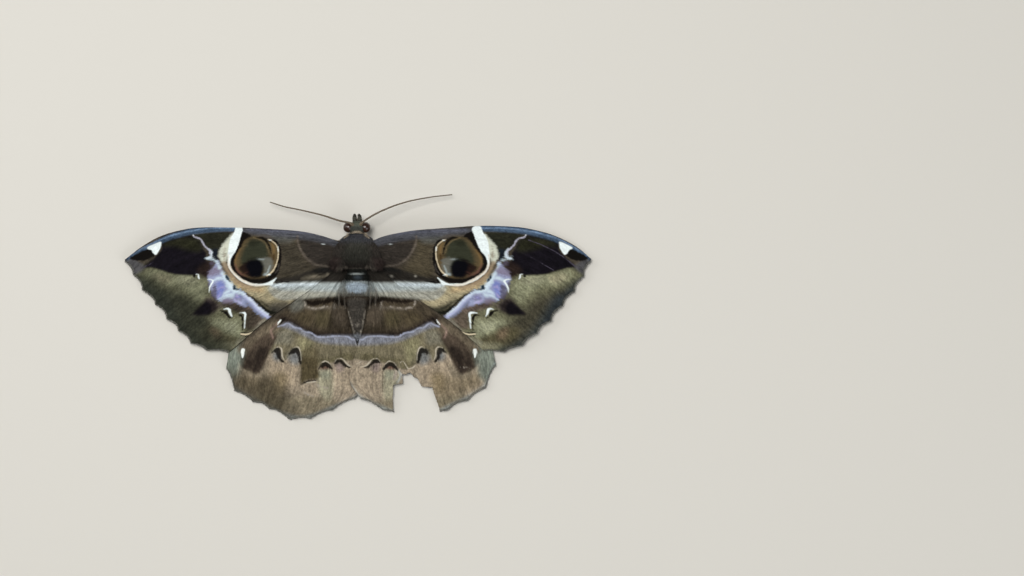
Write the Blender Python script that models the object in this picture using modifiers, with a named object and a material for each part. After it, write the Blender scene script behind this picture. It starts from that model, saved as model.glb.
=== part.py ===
"""A life-size owl moth at rest, with both pairs of wings spread flat over its legs.

+X is to the moth's right wing as seen from above with the head up, +Y is towards the head and +Z is up.
The origin is on the floor under the middle of the moth. Sizes are in metres, and MM makes them from millimetres.
"""

import math

import bmesh
import bpy
import numpy as np
from mathutils import Matrix, Vector

MM = 0.001

# Gap kept between parts that touch on the real moth
GAP = 0.3 * MM

# Wing membrane and veins
MEMBRANE = 0.50 * MM
VEIN = 0.90 * MM
RIM = 0.42 * MM
VEIN_HALF_WIDTH = 0.13
CELL_SAG = 0.22 * MM
WING_ROWS = 13

# Outlines as seen from above, with the left ones mirrored: front edge, back edge and toothed outer edge
FOREWING_OUTLINES = {
    "left": {
        "front": [(2.6, 14.2), (5.0, 15.3), (11.1, 17.1), (20.1, 18.0), (30.0, 18.35), (40.2, 18.0),
                  (46.9, 16.1), (50.9, 13.8), (54.9, 10.8)],
        "back": [(2.6, 10.2), (5.4, 8.2), (13.0, 2.4), (20.5, -2.7), (30.0, -10.8)],
        "teeth": [(54.9, 10.8), (52.7, 7.5), (50.5, 3.9), (47.4, 0.5), (44.7, -2.9), (41.9, -5.7),
                  (39.0, -8.6), (35.3, -10.2), (30.0, -10.8)],
    },
    "right": {
        "front": [(2.6, 14.6), (5.0, 15.8), (11.0, 17.3), (20.0, 18.2), (31.0, 18.75), (40.5, 18.05),
                  (47.2, 16.1), (51.7, 13.7), (55.0, 11.0)],
        "back": [(2.6, 10.2), (5.4, 8.2), (13.0, 2.4), (20.5, -2.7), (29.5, -10.4)],
        "teeth": [(55.0, 11.0), (53.0, 7.1), (50.8, 3.6), (48.1, 0.2), (45.3, -3.3), (42.0, -6.3),
                  (38.5, -9.1), (34.3, -10.6), (29.5, -10.4)],
    },
}
HINDWING_OUTLINES = {
    "left": {
        "front": [(2.0, 10.6), (6.0, 9.4), (15.0, 6.3), (24.0, 0.5), (29.0, -6.0), (31.0, -14.4)],
        "back": [(2.0, 8.6), (2.5, 3.0), (1.6, -3.5), (0.3, -8.5), (-1.1, -13.5), (-1.9, -17.5), (0.4, -21.5)],
        "teeth": [(31.0, -14.4), (28.9, -19.6), (24.6, -22.3), (20.8, -23.9), (16.0, -26.4),
                  (11.1, -26.2), (5.9, -24.2), (0.4, -21.5)],
    },
    "right": {
        "front": [(2.0, 10.6), (6.0, 9.4), (15.0, 6.3), (24.0, 0.5), (30.3, -6.0), (32.5, -13.6)],
        "back": [(2.0, 8.6), (2.5, 3.0), (1.6, -3.5), (0.3, -8.5), (-1.1, -13.5), (-1.9, -17.5), (0.4, -21.5)],
        "teeth": [(32.5, -13.6), (30.0, -18.9), (25.8, -21.9), (21.0, -24.3), (16.0, -26.4),
                  (11.1, -26.2), (5.9, -24.2), (0.4, -21.5)],
    },
}

# Depth of the bays in mm, where the middle cell ends, the veins that start at the root, and heights in mm
FOREWING = {
    "scallop": 0.75,
    "cell_end": 0.42,
    "stems": (1, 5, 7),
    "root_height": (6.5, 6.3),
    "edge_height": (1.7, 3.3),
    "droop": 1.25,
}
HINDWING = {
    "scallop": 0.65,
    "cell_end": 0.42,
    "stems": (1, 4, 6),
    "root_height": (4.5, 4.0),
    "edge_height": (1.15, 1.15),
    "droop": 1.0,
}

# The right hindwing lies over the left one behind the abdomen
OVERLAP_LIFT = 1.15 * MM
OVERLAP_REACH = 9.0 * MM

# Outline of the piece torn out of the right hindwing, and half the height of its cutter
TEAR = [(8.4, -28.0), (8.2, -21.5), (8.4, -18.5), (10.6, -18.3), (10.4, -16.0), (11.3, -16.1),
        (12.4, -15.6), (13.3, -16.7), (14.2, -17.2), (15.0, -19.0), (17.5, -19.1), (18.2, -21.3),
        (19.2, -24.2), (19.8, -28.0)]
TEAR_DEPTH = 6.0 * MM

# Thorax: a domed box with a collar in front and a shoulder flap over each wing root
DOME = ((0.0, 12.6, 5.3), (4.9, 4.15, 3.6))
COLLAR = ((0.0, 15.25, 5.6), (4.6, 1.9, 2.3))
FLAP = ((3.9, 12.2, 7.1), (2.0, 4.3, 1.55))
FLAP_TURN = math.radians(17.0)

# Head, eyes, feelers and mouthparts
HEAD = ((0.0, 18.1, 5.0), (2.3, 2.0, 2.1))
EYE = ((1.95, 18.4, 5.1), 1.25)
FEELER_PATHS = {
    "left": [(-0.8, 18.9, 6.2), (-1.6, 19.4, 6.9), (-3.5, 19.8, 6.7), (-8.0, 21.2, 5.8), (-12.9, 22.4, 4.8),
             (-17.5, 23.4, 3.8), (-20.6, 24.4, 3.2)],
    "right": [(0.8, 18.9, 6.2), (1.6, 19.7, 6.9), (3.2, 20.8, 6.7), (6.7, 22.6, 5.9), (10.7, 24.1, 5.0),
              (16.5, 25.4, 3.8), (22.3, 26.15, 2.9)],
}
FEELER_RADII = (0.36, 0.25)
PALP_PATH = [(0.75, 18.2, 3.7), (0.8, 20.0, 3.4), (0.8, 21.0, 4.3), (0.75, 21.4, 5.5), (0.7, 21.5, 6.3)]
PALP_RADII = [0.55, 0.62, 0.58, 0.42, 0.28]
TONGUE_ROOT = (0.0, 19.2, 4.3)
TONGUE_CENTRE = (0.0, 19.6, 2.2)
TONGUE_TURNS = 1.6
TONGUE_RADII = (0.40, 1.30)
TONGUE_THICKNESS = 0.27

# Abdomen: half-width and height of its middle, from the thorax to the tip
ABDOMEN_PROFILE = [(0.0, 10.2), (1.6, 9.9), (2.5, 9.0), (2.95, 7.0), (3.05, 4.5), (2.85, 1.5), (2.4, -1.5),
                   (1.75, -4.5), (1.05, -6.9), (0.5, -7.8), (0.0, -8.1)]
ABDOMEN_ENDS = (10.2, -8.1)
ABDOMEN_HEIGHTS = (5.2, 3.5)
ABDOMEN_FLATNESS = 0.86
SEGMENTS = 7
SEGMENT_STEP = 0.05

# Legs of the right side: body, knee, ankle and toe, then the radii there
LEGS = {
    "foreleg": [(1.9, 14.6, 2.9), (4.6, 15.0, 2.9), (6.6, 15.3, 0.95), (7.2, 15.4, 0.24), (10.4, 15.9, 0.24)],
    "midleg": [(2.5, 12.0, 2.6), (8.2, 10.4, 3.2), (12.0, 8.2, 0.95), (12.7, 7.8, 0.24), (16.2, 6.4, 0.24)],
    "hindleg": [(2.0, 11.3, 3.0), (6.4, 5.6, 2.5), (9.6, -0.6, 0.85), (9.9, -1.3, 0.24), (11.2, -5.4, 0.24)],
}
LEG_RADII = (0.70, 0.52, 0.36, 0.34, 0.33)

COLOURS = {
    "wing": (0.15, 0.115, 0.075, 0.85),
    "fur": (0.07, 0.055, 0.045, 0.9),
    "eye": (0.03, 0.012, 0.008, 0.2),
    "horn": (0.11, 0.08, 0.055, 0.6),
}


def clear_scene():
    for old in list(bpy.data.objects):
        bpy.data.objects.remove(old)


def collection(name):
    made = bpy.data.collections.new(name)
    bpy.context.scene.collection.children.link(made)
    return made


def material(name):
    red, green, blue, roughness = COLOURS[name]
    made = bpy.data.materials.new(name)
    made.use_nodes = True
    shader = made.node_tree.nodes["Principled BSDF"]
    shader.inputs["Base Color"].default_value = (red, green, blue, 1.0)
    shader.inputs["Roughness"].default_value = roughness
    shader.inputs["Metallic"].default_value = 0.0
    return made


def point(place):
    """A place in millimetres as a vector in metres."""
    return Vector(place) * MM


def curve_through(points, t, even=False):
    """Points at t, from 0 to 1, on the smooth curve through the given points.

    t goes by distance along the chords, or by equal steps from one given point to the next if even is set.
    """
    given = np.array(points, float)
    reach = np.linalg.norm(np.diff(given, axis=0), axis=1)
    knots = np.concatenate([[0.0], np.cumsum(np.ones_like(reach) if even else reach)])
    knots /= knots[-1]
    slopes = np.gradient(given, knots, axis=0)
    t = np.clip(np.asarray(t, float), 0.0, 1.0)
    i = np.clip(np.searchsorted(knots, t, side="right") - 1, 0, len(given) - 2)
    step = (knots[i + 1] - knots[i])[..., None]
    w = (t[..., None] - knots[i][..., None]) / step
    return (
        given[i] * (1 + 2 * w) * (1 - w) ** 2
        + slopes[i] * step * w * (1 - w) ** 2
        + given[i + 1] * w * w * (3 - 2 * w)
        + slopes[i + 1] * step * w * w * (w - 1)
    )


def outer_edge(wing, v):
    """The toothed outer edge: a tooth where each vein ends, and a shallow bay between two teeth."""
    cells = len(wing["teeth"]) - 1
    edge = curve_through(wing["teeth"], v, even=True)
    root = (np.array(wing["front"][0]) + np.array(wing["back"][0])) / 2
    inwards = root - edge
    inwards /= np.linalg.norm(inwards, axis=-1, keepdims=True)
    bay = np.abs(np.sin(math.pi * v * cells)) ** 0.8
    return edge + inwards * (wing["scallop"] * bay)[..., None]


def wing_plan(wing, u, v):
    """Place in the plan view, in mm: u goes from the root to the outer edge, v from the front edge to the back."""
    u = np.asarray(u, float)
    v = np.asarray(v, float)
    front = curve_through(wing["front"], u)
    back = curve_through(wing["back"], u)
    first, last = np.array(wing["front"][0]), np.array(wing["back"][0])
    apex, corner = np.array(wing["front"][-1]), np.array(wing["back"][-1])
    root = first + (last - first) * v[..., None]
    edge = outer_edge(wing, v)
    u, v = u[..., None], v[..., None]
    sides = (1 - v) * front + v * back + (1 - u) * root + u * edge
    corners = (1 - u) * ((1 - v) * first + v * last) + u * ((1 - v) * apex + v * corner)
    return sides - corners


def wing_height(wing, u, v):
    """Height in mm of the middle of the membrane, which falls from the root to the outer edge."""
    root = np.interp(v, (0.0, 1.0), wing["root_height"])
    edge = np.interp(v, (0.35, 1.0), wing["edge_height"])
    return edge + (root - edge) * (1.0 - u) ** wing["droop"]


def is_vein(wing, tooth, u):
    """Outer veins start at the end of the middle cell, which the stems and one cross vein close."""
    beyond_cell = u >= wing["cell_end"] - 1e-6
    return tooth in wing["stems"] or beyond_cell


def wing_columns(cells):
    """Places of the grid lines from front to back: each vein's crest and flanks, and the middle of each cell."""
    steps = (0.0, VEIN_HALF_WIDTH, 0.5, 1.0 - VEIN_HALF_WIDTH)
    return [(cell + step) / cells for cell in range(cells) for step in steps] + [1.0]


def wing_rows(cell_end):
    """Places of the grid lines from root to edge, with one line on the cross vein."""
    inner = round(WING_ROWS * cell_end)
    outer = WING_ROWS - inner
    return [cell_end * k / inner for k in range(inner)] + [
        cell_end + (1.0 - cell_end) * k / outer for k in range(outer + 1)
    ]


def wing_sheet(name, wing, side, lift):
    """The open middle surface of a wing, with the share of the full vein thickness at each vertex as a group."""
    cells = len(wing["teeth"]) - 1
    columns, rows = wing_columns(cells), wing_rows(wing["cell_end"])
    grid = bmesh.new()
    bmesh.ops.create_grid(grid, x_segments=len(columns) - 1, y_segments=len(rows) - 1, size=0.5)
    weight = grid.verts.layers.deform.verify()
    for vert in grid.verts:
        column = round((vert.co.x + 0.5) * (len(columns) - 1))
        row = round((vert.co.y + 0.5) * (len(rows) - 1))
        u, v = rows[row], columns[column]
        x, y = wing_plan(wing, u, v)
        tooth, on_crest = round(v * cells), column % 4 == 0
        crossing = abs(u - wing["cell_end"]) < 1e-6 and wing["stems"][0] <= v * cells <= wing["stems"][1]
        raised = (on_crest and is_vein(wing, tooth, u)) or crossing
        between = math.sin(math.pi * v * cells) ** 2
        z = float(wing_height(wing, u, v)) * MM - CELL_SAG * between * u + lift(x * MM, y * MM)
        at_rim = row == len(rows) - 1 or column in (0, len(columns) - 1)
        thickness = VEIN if raised and not at_rim else (RIM if at_rim else MEMBRANE)
        vert[weight][0] = thickness / VEIN
        vert.co = Vector((side * x * MM, y * MM, z))
    if side < 0:
        bmesh.ops.reverse_faces(grid, faces=grid.faces)
    bmesh.ops.triangulate(grid, faces=grid.faces)
    mesh = bpy.data.meshes.new(name)
    grid.to_mesh(mesh)
    grid.free()
    return mesh


def wing_solid(name, wing, side, lift, parts):
    """A wing of the membrane's thickness whose veins stand out of both faces."""
    made = bpy.data.objects.new(name, wing_sheet(name, wing, side, lift))
    parts.objects.link(made)
    made.vertex_groups.new(name="thickness")
    shell = made.modifiers.new("membrane", "SOLIDIFY")
    shell.thickness = VEIN
    shell.offset = 0.0
    shell.vertex_group = "thickness"
    shell.thickness_vertex_group = 0.0
    apply_modifiers(made)
    return made


def apply_modifiers(made):
    graph = bpy.context.evaluated_depsgraph_get()
    mesh = bpy.data.meshes.new_from_object(made.evaluated_get(graph))
    made.modifiers.clear()
    made.data = mesh
    made.matrix_world = Matrix.Identity(4)


def keep_largest(made):
    """Keeps the closed surface with the most volume, and drops scraps that a cut leaves."""
    work = bmesh.new()
    work.from_mesh(made.data)
    left, islands = set(work.faces), []
    while left:
        island, front = [], [left.pop()]
        while front:
            face = front.pop()
            island.append(face)
            for edge in face.edges:
                for other in edge.link_faces:
                    if other in left:
                        left.remove(other)
                        front.append(other)
        islands.append(island)
    islands.sort(key=lambda island: sum(face.calc_area() for face in island))
    for island in islands[:-1]:
        bmesh.ops.delete(work, geom=island, context="FACES")
    work.to_mesh(made.data)
    work.free()


def carve(made, cutters, solver="EXACT"):
    """Cuts the other parts' enlarged forms out of this one, which leaves the gap between them."""
    for cutter in cutters:
        cut = made.modifiers.new("gap", "BOOLEAN")
        cut.operation = "DIFFERENCE"
        cut.solver = solver
        cut.object = cutter
    apply_modifiers(made)
    keep_largest(made)


def join(made, pieces):
    """Fuses closed meshes into this one with a single union, and removes them."""
    others = collection(made.name + "_pieces")
    for piece in pieces:
        for home in list(piece.users_collection):
            home.objects.unlink(piece)
        others.objects.link(piece)
    union = made.modifiers.new("union", "BOOLEAN")
    union.operation = "UNION"
    union.operand_type = "COLLECTION"
    union.collection = others
    apply_modifiers(made)
    for piece in pieces:
        bpy.data.objects.remove(piece)
    bpy.data.collections.remove(others)
    keep_largest(made)


def ellipsoid(name, form, parts, grow=0.0, turn=0.0, detail=(22, 14)):
    """A closed egg with the given middle and half sizes in mm, enlarged by grow and turned about Z."""
    centre, half = form
    egg = bmesh.new()
    bmesh.ops.create_uvsphere(egg, u_segments=detail[0], v_segments=detail[1], radius=1.0)
    sizes = [size * MM + grow for size in half]
    place = Matrix.Translation(point(centre)) @ Matrix.Rotation(turn, 4, "Z") @ Matrix.Diagonal((*sizes, 1.0))
    bmesh.ops.transform(egg, matrix=place, verts=egg.verts)
    mesh = bpy.data.meshes.new(name)
    egg.to_mesh(mesh)
    egg.free()
    made = bpy.data.objects.new(name, mesh)
    parts.objects.link(made)
    return made


def thorax_form(name, parts, grow=0.0):
    dome = ellipsoid(name, DOME, parts, grow, detail=(26, 16))
    pieces = [ellipsoid(name + "_collar", COLLAR, parts, grow)]
    for side in (-1, 1):
        (x, y, z), half = FLAP
        form = ((side * x, y, z), half)
        pieces.append(ellipsoid(f"{name}_flap_{side}", form, parts, grow, turn=side * FLAP_TURN))
    join(dome, pieces)
    return dome


def abdomen_form(name, parts, grow=0.0):
    """The tapering abdomen: a turned profile with a step at each ring, flattened and set on a falling line."""
    front, tip = ABDOMEN_ENDS
    count = 29
    profile = bmesh.new()
    verts = []
    for k in range(count):
        along = k / (count - 1)
        radius, y = curve_through(ABDOMEN_PROFILE, along)
        ring = (front - y) / (front - tip) * SEGMENTS
        radius = max(float(radius), 0.0) * (1.0 - SEGMENT_STEP * (ring % 1.0)) * MM
        if k in (0, count - 1):
            radius = 0.0
        elif grow:
            radius += grow
        end = grow if k == 0 else -grow if k == count - 1 else 0.0
        verts.append(profile.verts.new((radius, 0.0, y * MM + end)))
    for a, b in zip(verts, verts[1:]):
        profile.edges.new((a, b))
    mesh = bpy.data.meshes.new(name)
    profile.to_mesh(mesh)
    profile.free()
    made = bpy.data.objects.new(name, mesh)
    parts.objects.link(made)
    turn = made.modifiers.new("turned", "SCREW")
    turn.axis = "Z"
    turn.steps = turn.render_steps = 20
    turn.use_merge_vertices = True
    turn.merge_threshold = 0.00001
    apply_modifiers(made)
    for vert in made.data.vertices:
        across, up, y = vert.co.x, -vert.co.y * ABDOMEN_FLATNESS, vert.co.z
        middle = np.interp(y / MM, (tip, front), (ABDOMEN_HEIGHTS[1], ABDOMEN_HEIGHTS[0])) * MM
        vert.co = Vector((across, y, middle + up))
    return made


def tube(name, places, radii, parts, sides=2):
    """A closed tube through the places in mm, with a radius in mm at each, as a welded mesh."""
    line = bpy.data.curves.new(name, "CURVE")
    line.dimensions = "3D"
    line.bevel_depth = MM
    line.bevel_resolution = sides
    line.use_fill_caps = True
    spline = line.splines.new("POLY")
    spline.points.add(len(places) - 1)
    for knot, place, radius in zip(spline.points, places, radii):
        knot.co = (*point(place), 1.0)
        knot.radius = radius
    drawn = bpy.data.objects.new(name + "_line", line)
    parts.objects.link(drawn)
    graph = bpy.context.evaluated_depsgraph_get()
    mesh = bpy.data.meshes.new_from_object(drawn.evaluated_get(graph))
    bpy.data.objects.remove(drawn)
    welded = bmesh.new()
    welded.from_mesh(mesh)
    bmesh.ops.remove_doubles(welded, verts=welded.verts, dist=0.000005)
    bmesh.ops.recalc_face_normals(welded, faces=welded.faces)
    welded.to_mesh(mesh)
    welded.free()
    made = bpy.data.objects.new(name, mesh)
    parts.objects.link(made)
    return made


def mirrored(places, side):
    return [(side * x, y, z) for x, y, z in places]


def smooth_tube(name, places, radii, count, parts, sides=2):
    """A tube whose line is smooth between the given places and whose radius changes evenly."""
    t = np.linspace(0.0, 1.0, count)
    line = curve_through(places, t)
    widths = np.interp(t, np.linspace(0.0, 1.0, len(radii)), radii)
    return tube(name, line, widths, parts, sides)


def leg(name, path, side, parts):
    """A thigh, a shin and a foot that lies on the floor on a flat sole."""
    made = tube(name, mirrored(path, side), LEG_RADII, parts)
    work = bmesh.new()
    work.from_mesh(made.data)
    halves = work.verts[:] + work.edges[:] + work.faces[:]
    cut = bmesh.ops.bisect_plane(
        work, geom=halves, dist=0.000001, plane_co=(0, 0, 0), plane_no=(0, 0, 1), clear_inner=True
    )
    rim = [item for item in cut["geom_cut"] if isinstance(item, bmesh.types.BMEdge)]
    bmesh.ops.contextual_create(work, geom=rim)
    bmesh.ops.recalc_face_normals(work, faces=work.faces)
    work.to_mesh(made.data)
    work.free()
    return made


def tongue(parts):
    """The long tongue, coiled between the palps."""
    count = 22
    places = [TONGUE_ROOT]
    for k in range(count):
        along = k / (count - 1)
        angle = math.radians(95.0) + 2.0 * math.pi * TONGUE_TURNS * along
        reach = TONGUE_RADII[1] + (TONGUE_RADII[0] - TONGUE_RADII[1]) * along
        x, y, z = TONGUE_CENTRE
        places.append((x, y + reach * math.cos(angle), z + reach * math.sin(angle)))
    return tube("tongue", places, [TONGUE_THICKNESS] * len(places), parts)


def tear_cutter(cutters):
    """A deep prism with the outline of the torn piece."""
    sheet = bmesh.new()
    corners = [sheet.verts.new((x * MM, y * MM, -TEAR_DEPTH)) for x, y in TEAR]
    face = sheet.faces.new(corners)
    raised = bmesh.ops.extrude_face_region(sheet, geom=[face])["geom"]
    tops = [item for item in raised if isinstance(item, bmesh.types.BMVert)]
    bmesh.ops.translate(sheet, verts=tops, vec=(0, 0, 2 * TEAR_DEPTH))
    bmesh.ops.recalc_face_normals(sheet, faces=sheet.faces)
    mesh = bpy.data.meshes.new("tear")
    sheet.to_mesh(mesh)
    sheet.free()
    made = bpy.data.objects.new("tear", mesh)
    cutters.objects.link(made)
    return made


def right_lift(x, y):
    """Raises the right hindwing near the midline, where it lies over the left one."""
    behind = np.clip(-y / OVERLAP_REACH, 0.0, 1.0)
    beside = np.clip(1.0 - (x - 1.5 * MM) / OVERLAP_REACH, 0.0, 1.0)
    return float(OVERLAP_LIFT * (behind * behind * (3 - 2 * behind)) * (beside * beside * (3 - 2 * beside)))


def no_lift(x, y):
    return 0.0


def finish(made, look):
    made.data.materials.clear()
    made.data.materials.append(look)
    made.data.shade_smooth()


def main():
    clear_scene()
    moth = collection("owl_moth")
    cutters = collection("cutters")
    looks = {name: material(name) for name in COLOURS}
    sides = {"left": -1, "right": 1}

    thorax_space = thorax_form("thorax_space", cutters, GAP)
    abdomen_space = abdomen_form("abdomen_space", cutters, GAP)
    (eye_x, eye_y, eye_z), eye_radius = EYE
    eye_spaces = []
    for name, side in sides.items():
        form = ((side * eye_x, eye_y, eye_z), [eye_radius] * 3)
        eye_spaces.append(ellipsoid("eye_space_" + name, form, cutters, GAP, detail=(18, 12)))
        eye = ellipsoid("eye_" + name, form, moth, detail=(18, 12))
        finish(eye, looks["eye"])
    head_space = ellipsoid("head_space", HEAD, cutters, GAP)
    tear = tear_cutter(cutters)

    finish(thorax_form("thorax", moth), looks["fur"])
    abdomen = abdomen_form("abdomen", moth)
    carve(abdomen, [thorax_space])
    finish(abdomen, looks["fur"])
    head = ellipsoid("head", HEAD, moth)
    carve(head, [thorax_space, *eye_spaces])
    finish(head, looks["fur"])

    for name, side in sides.items():
        outline = FOREWING | FOREWING_OUTLINES[name]
        forewing = wing_solid("forewing_" + name, outline, side, no_lift, moth)
        carve(forewing, [thorax_space], "MANIFOLD")
        finish(forewing, looks["wing"])
        lift = right_lift if side > 0 else no_lift
        outline = HINDWING | HINDWING_OUTLINES[name]
        hindwing = wing_solid("hindwing_" + name, outline, side, lift, moth)
        carve(hindwing, [thorax_space, abdomen_space] + ([tear] if side > 0 else []), "MANIFOLD")
        finish(hindwing, looks["wing"])
        feeler = smooth_tube("antenna_" + name, FEELER_PATHS[name], FEELER_RADII, 16, moth)
        carve(feeler, [head_space])
        finish(feeler, looks["horn"])
        palp = smooth_tube("palp_" + name, mirrored(PALP_PATH, side), PALP_RADII, 9, moth)
        carve(palp, [head_space])
        finish(palp, looks["fur"])
        for kind, path in LEGS.items():
            limb = leg(f"{kind}_{name}", path, side, moth)
            carve(limb, [thorax_space])
            finish(limb, looks["horn"])
    tongue_coil = tongue(moth)
    carve(tongue_coil, [head_space])
    finish(tongue_coil, looks["horn"])

    for helper in cutters.objects:
        helper.hide_render = True
        helper.display_type = "WIRE"


main()
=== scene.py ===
"""Looks of a life-size owl moth at rest, with both pairs of wings spread flat over its legs.

+X is to the moth's right wing as seen from above with the head up, +Y is towards the head and +Z is up.
Places on the moth are in millimetres as seen from above, and MM makes them metres.
"""

import math

import bmesh
import bpy
import numpy as np
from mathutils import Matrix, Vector


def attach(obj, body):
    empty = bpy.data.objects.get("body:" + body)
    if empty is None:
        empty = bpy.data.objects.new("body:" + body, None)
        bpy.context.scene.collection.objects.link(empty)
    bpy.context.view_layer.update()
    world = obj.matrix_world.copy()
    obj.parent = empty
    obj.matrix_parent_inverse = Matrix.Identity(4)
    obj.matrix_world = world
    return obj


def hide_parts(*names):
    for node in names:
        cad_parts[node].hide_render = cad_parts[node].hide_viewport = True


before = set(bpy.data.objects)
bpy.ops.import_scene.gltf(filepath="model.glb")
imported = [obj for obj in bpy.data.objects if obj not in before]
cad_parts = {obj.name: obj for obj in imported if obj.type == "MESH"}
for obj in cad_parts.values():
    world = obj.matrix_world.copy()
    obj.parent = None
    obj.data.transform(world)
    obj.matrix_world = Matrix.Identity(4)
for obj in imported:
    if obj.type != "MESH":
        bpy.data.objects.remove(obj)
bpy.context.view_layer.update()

MM = 0.001
SIDES = {"left": -1, "right": 1}
rng = np.random.default_rng(7)

# Framing: what the picture shows at the height of the wings, in mm
FRAME_WIDTH = 240.6
FRAME_MIDDLE = (36.3, 4.2)
WING_LEVEL = 2.7
LENS = 100.0
SENSOR = 36.0

# Wing membrane, its veins and the rows of the fine sheet
MEMBRANE = 0.22
VEIN_RISE = 0.13
VEIN_SPREAD = 0.20
CELL_SAG = 0.22
SHEET_ROWS = 210
SHEET_COLUMNS = 152

# Outlines as seen from above, with the left ones mirrored: front edge, back edge and toothed outer edge, and
# how far the pattern lies nearer the body from there outwards
FOREWING_OUTLINES = {
    "left": {
        "front": [(2.6, 14.2), (5.0, 15.3), (11.1, 17.1), (20.1, 18.0), (30.0, 18.35), (40.2, 18.0),
                  (46.9, 16.1), (50.9, 13.8), (54.9, 10.8)],
        "back": [(2.6, 10.2), (5.4, 8.2), (13.0, 2.4), (20.5, -2.7), (30.0, -10.8)],
        "teeth": [(54.9, 10.8), (52.7, 7.5), (50.5, 3.9), (47.4, 0.5), (44.7, -2.9), (41.9, -5.7),
                  (39.0, -8.6), (35.3, -10.2), (30.0, -10.8)],
        "shift": [(26.6, 0.0), (29.2, 0.7), (33, 0.5), (38, 0.9), (48, 1.25), (55, 0.3)],
    },
    "right": {
        "front": [(2.6, 14.6), (5.0, 15.8), (11.0, 17.3), (20.0, 18.2), (31.0, 18.75), (40.5, 18.05),
                  (47.2, 16.1), (51.7, 13.7), (55.0, 11.0)],
        "back": [(2.6, 10.2), (5.4, 8.2), (13.0, 2.4), (20.5, -2.7), (29.5, -10.4)],
        "teeth": [(55.0, 11.0), (53.0, 7.1), (50.8, 3.6), (48.1, 0.2), (45.3, -3.3), (42.0, -6.3),
                  (38.5, -9.1), (34.3, -10.6), (29.5, -10.4)],
    },
}
HINDWING_BACK = [(2.0, 8.6), (2.5, 3.0), (1.6, -3.5), (0.3, -8.5), (-1.1, -13.5), (-1.9, -17.5),
                 (0.4, -21.5)]
HINDWING_OUTLINES = {
    "left": {
        "front": [(2.0, 10.6), (6.0, 9.4), (15.0, 6.3), (24.0, 0.5), (29.0, -6.0), (31.0, -14.4)],
        "back": HINDWING_BACK,
        "teeth": [(31.0, -14.4), (28.9, -19.6), (24.6, -22.3), (20.8, -23.9), (16.0, -26.4),
                  (11.1, -26.2), (5.9, -24.2), (0.4, -21.5)],
        "shift": [(9, 0.0), (14, 0.8), (19, 0.5), (24, 0.7), (28, 0.5), (32, 0.3)],
    },
    "right": {
        "front": [(2.0, 10.6), (6.0, 9.4), (15.0, 6.3), (24.0, 0.5), (30.3, -6.0), (32.5, -13.6)],
        "back": HINDWING_BACK,
        "teeth": [(32.5, -13.6), (30.0, -18.9), (25.8, -21.9), (21.0, -24.3), (16.0, -26.4),
                  (11.1, -26.2), (5.9, -24.2), (0.4, -21.5)],
    },
}

# Depth of the bays, end of the middle cell, the veins that start at the root, heights, and how far the back
# edge settles onto the wing below
FOREWING = {
    "scallop": 0.75,
    "cell_end": 0.42,
    "stems": (1, 5, 7),
    "root_height": (6.5, 6.3),
    "edge_height": (1.7, 3.3),
    "droop": 1.25,
    "settle": (1.45, 1.45, 1.3, 1.02, 1.08, 1.4),
}
HINDWING = {
    "scallop": 0.65,
    "cell_end": 0.42,
    "stems": (1, 4, 6),
    "root_height": (4.5, 4.0),
    "edge_height": (1.15, 1.15),
    "droop": 1.0,
    "settle": (0.0, 0.0),
}

# The right hindwing lies over the left one behind the abdomen
OVERLAP_LIFT = 1.15
OVERLAP_REACH = 9.0

# Outline of the piece torn out of the right hindwing, how far its rim strays from it, and how near the
# sheet's rim has to be to follow it
RAG = 0.08
RIM_REACH = 0.32
TEAR = [(8.4, -28.0), (8.2, -21.5), (8.4, -18.5), (10.6, -18.3), (10.4, -16.0), (11.3, -16.1),
        (12.4, -15.6), (13.3, -16.7), (14.2, -17.2), (15.0, -19.0), (17.5, -19.1), (18.2, -21.3),
        (19.2, -24.2), (19.8, -28.0)]

# Fringe of the outer edge: how many scales, how long, how wide, and the grey that pales them
FRINGE_COUNT = 1700
FRINGE_LENGTHS = (0.4, 0.85)
FRINGE_WIDTH = 0.05
FRINGE_GREY = "#74746b"

# Hair near the roots of the wings: how many, how long, and where, in shares of the way from the root to the
# edge and from the front to the back
FOREWING_HAIR = {"count": 900, "lengths": (0.9, 1.8), "outward": (0.02, 0.2), "backward": (0.1, 1.0)}
HINDWING_HAIR = {"count": 1700, "lengths": (1.2, 2.6), "outward": (0.02, 0.42), "backward": (0.72, 1.0)}
WING_HAIR_WIDTH = 0.045

# Shape and shade of one scale or hair: its fullness at the root, the middle and the tip, how dark its root
# is and how much lighter its tip, and the size of its patch on the unwrapped skin
BLADE_FULLNESS = (0.7, 2.0, 1.0)
BLADE_ROOT_SHADE = 0.72
BLADE_TIP_GAIN = 0.42
BLADE_PATCH = 0.0015

# Body forms: middle, half sizes and turn about Z
FLAP_TURN = math.radians(17.0)
BODY_EGGS = [
    ((0.0, 12.6, 5.3), (4.9, 4.15, 3.6), 0.0),
    ((0.0, 15.25, 5.6), (4.6, 1.9, 2.3), 0.0),
    ((3.9, 12.2, 7.1), (2.0, 4.3, 1.55), FLAP_TURN),
    ((-3.9, 12.2, 7.1), (2.0, 4.3, 1.55), -FLAP_TURN),
    ((0.0, 18.1, 5.0), (2.3, 2.0, 2.1), 0.0),
]
ABDOMEN_PROFILE = [(0.0, 10.2), (1.6, 9.9), (2.5, 9.0), (2.95, 7.0), (3.05, 4.5), (2.85, 1.5), (2.4, -1.5),
                   (1.75, -4.5), (1.05, -6.9), (0.5, -7.8), (0.0, -8.1)]
ABDOMEN_HEIGHTS = (3.5, 5.2)
ABDOMEN_FLATNESS = 0.86
SEGMENTS = 7
SEGMENT_STEP = 0.05
BODY_ENDS = (-7.8, 19.85)
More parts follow.
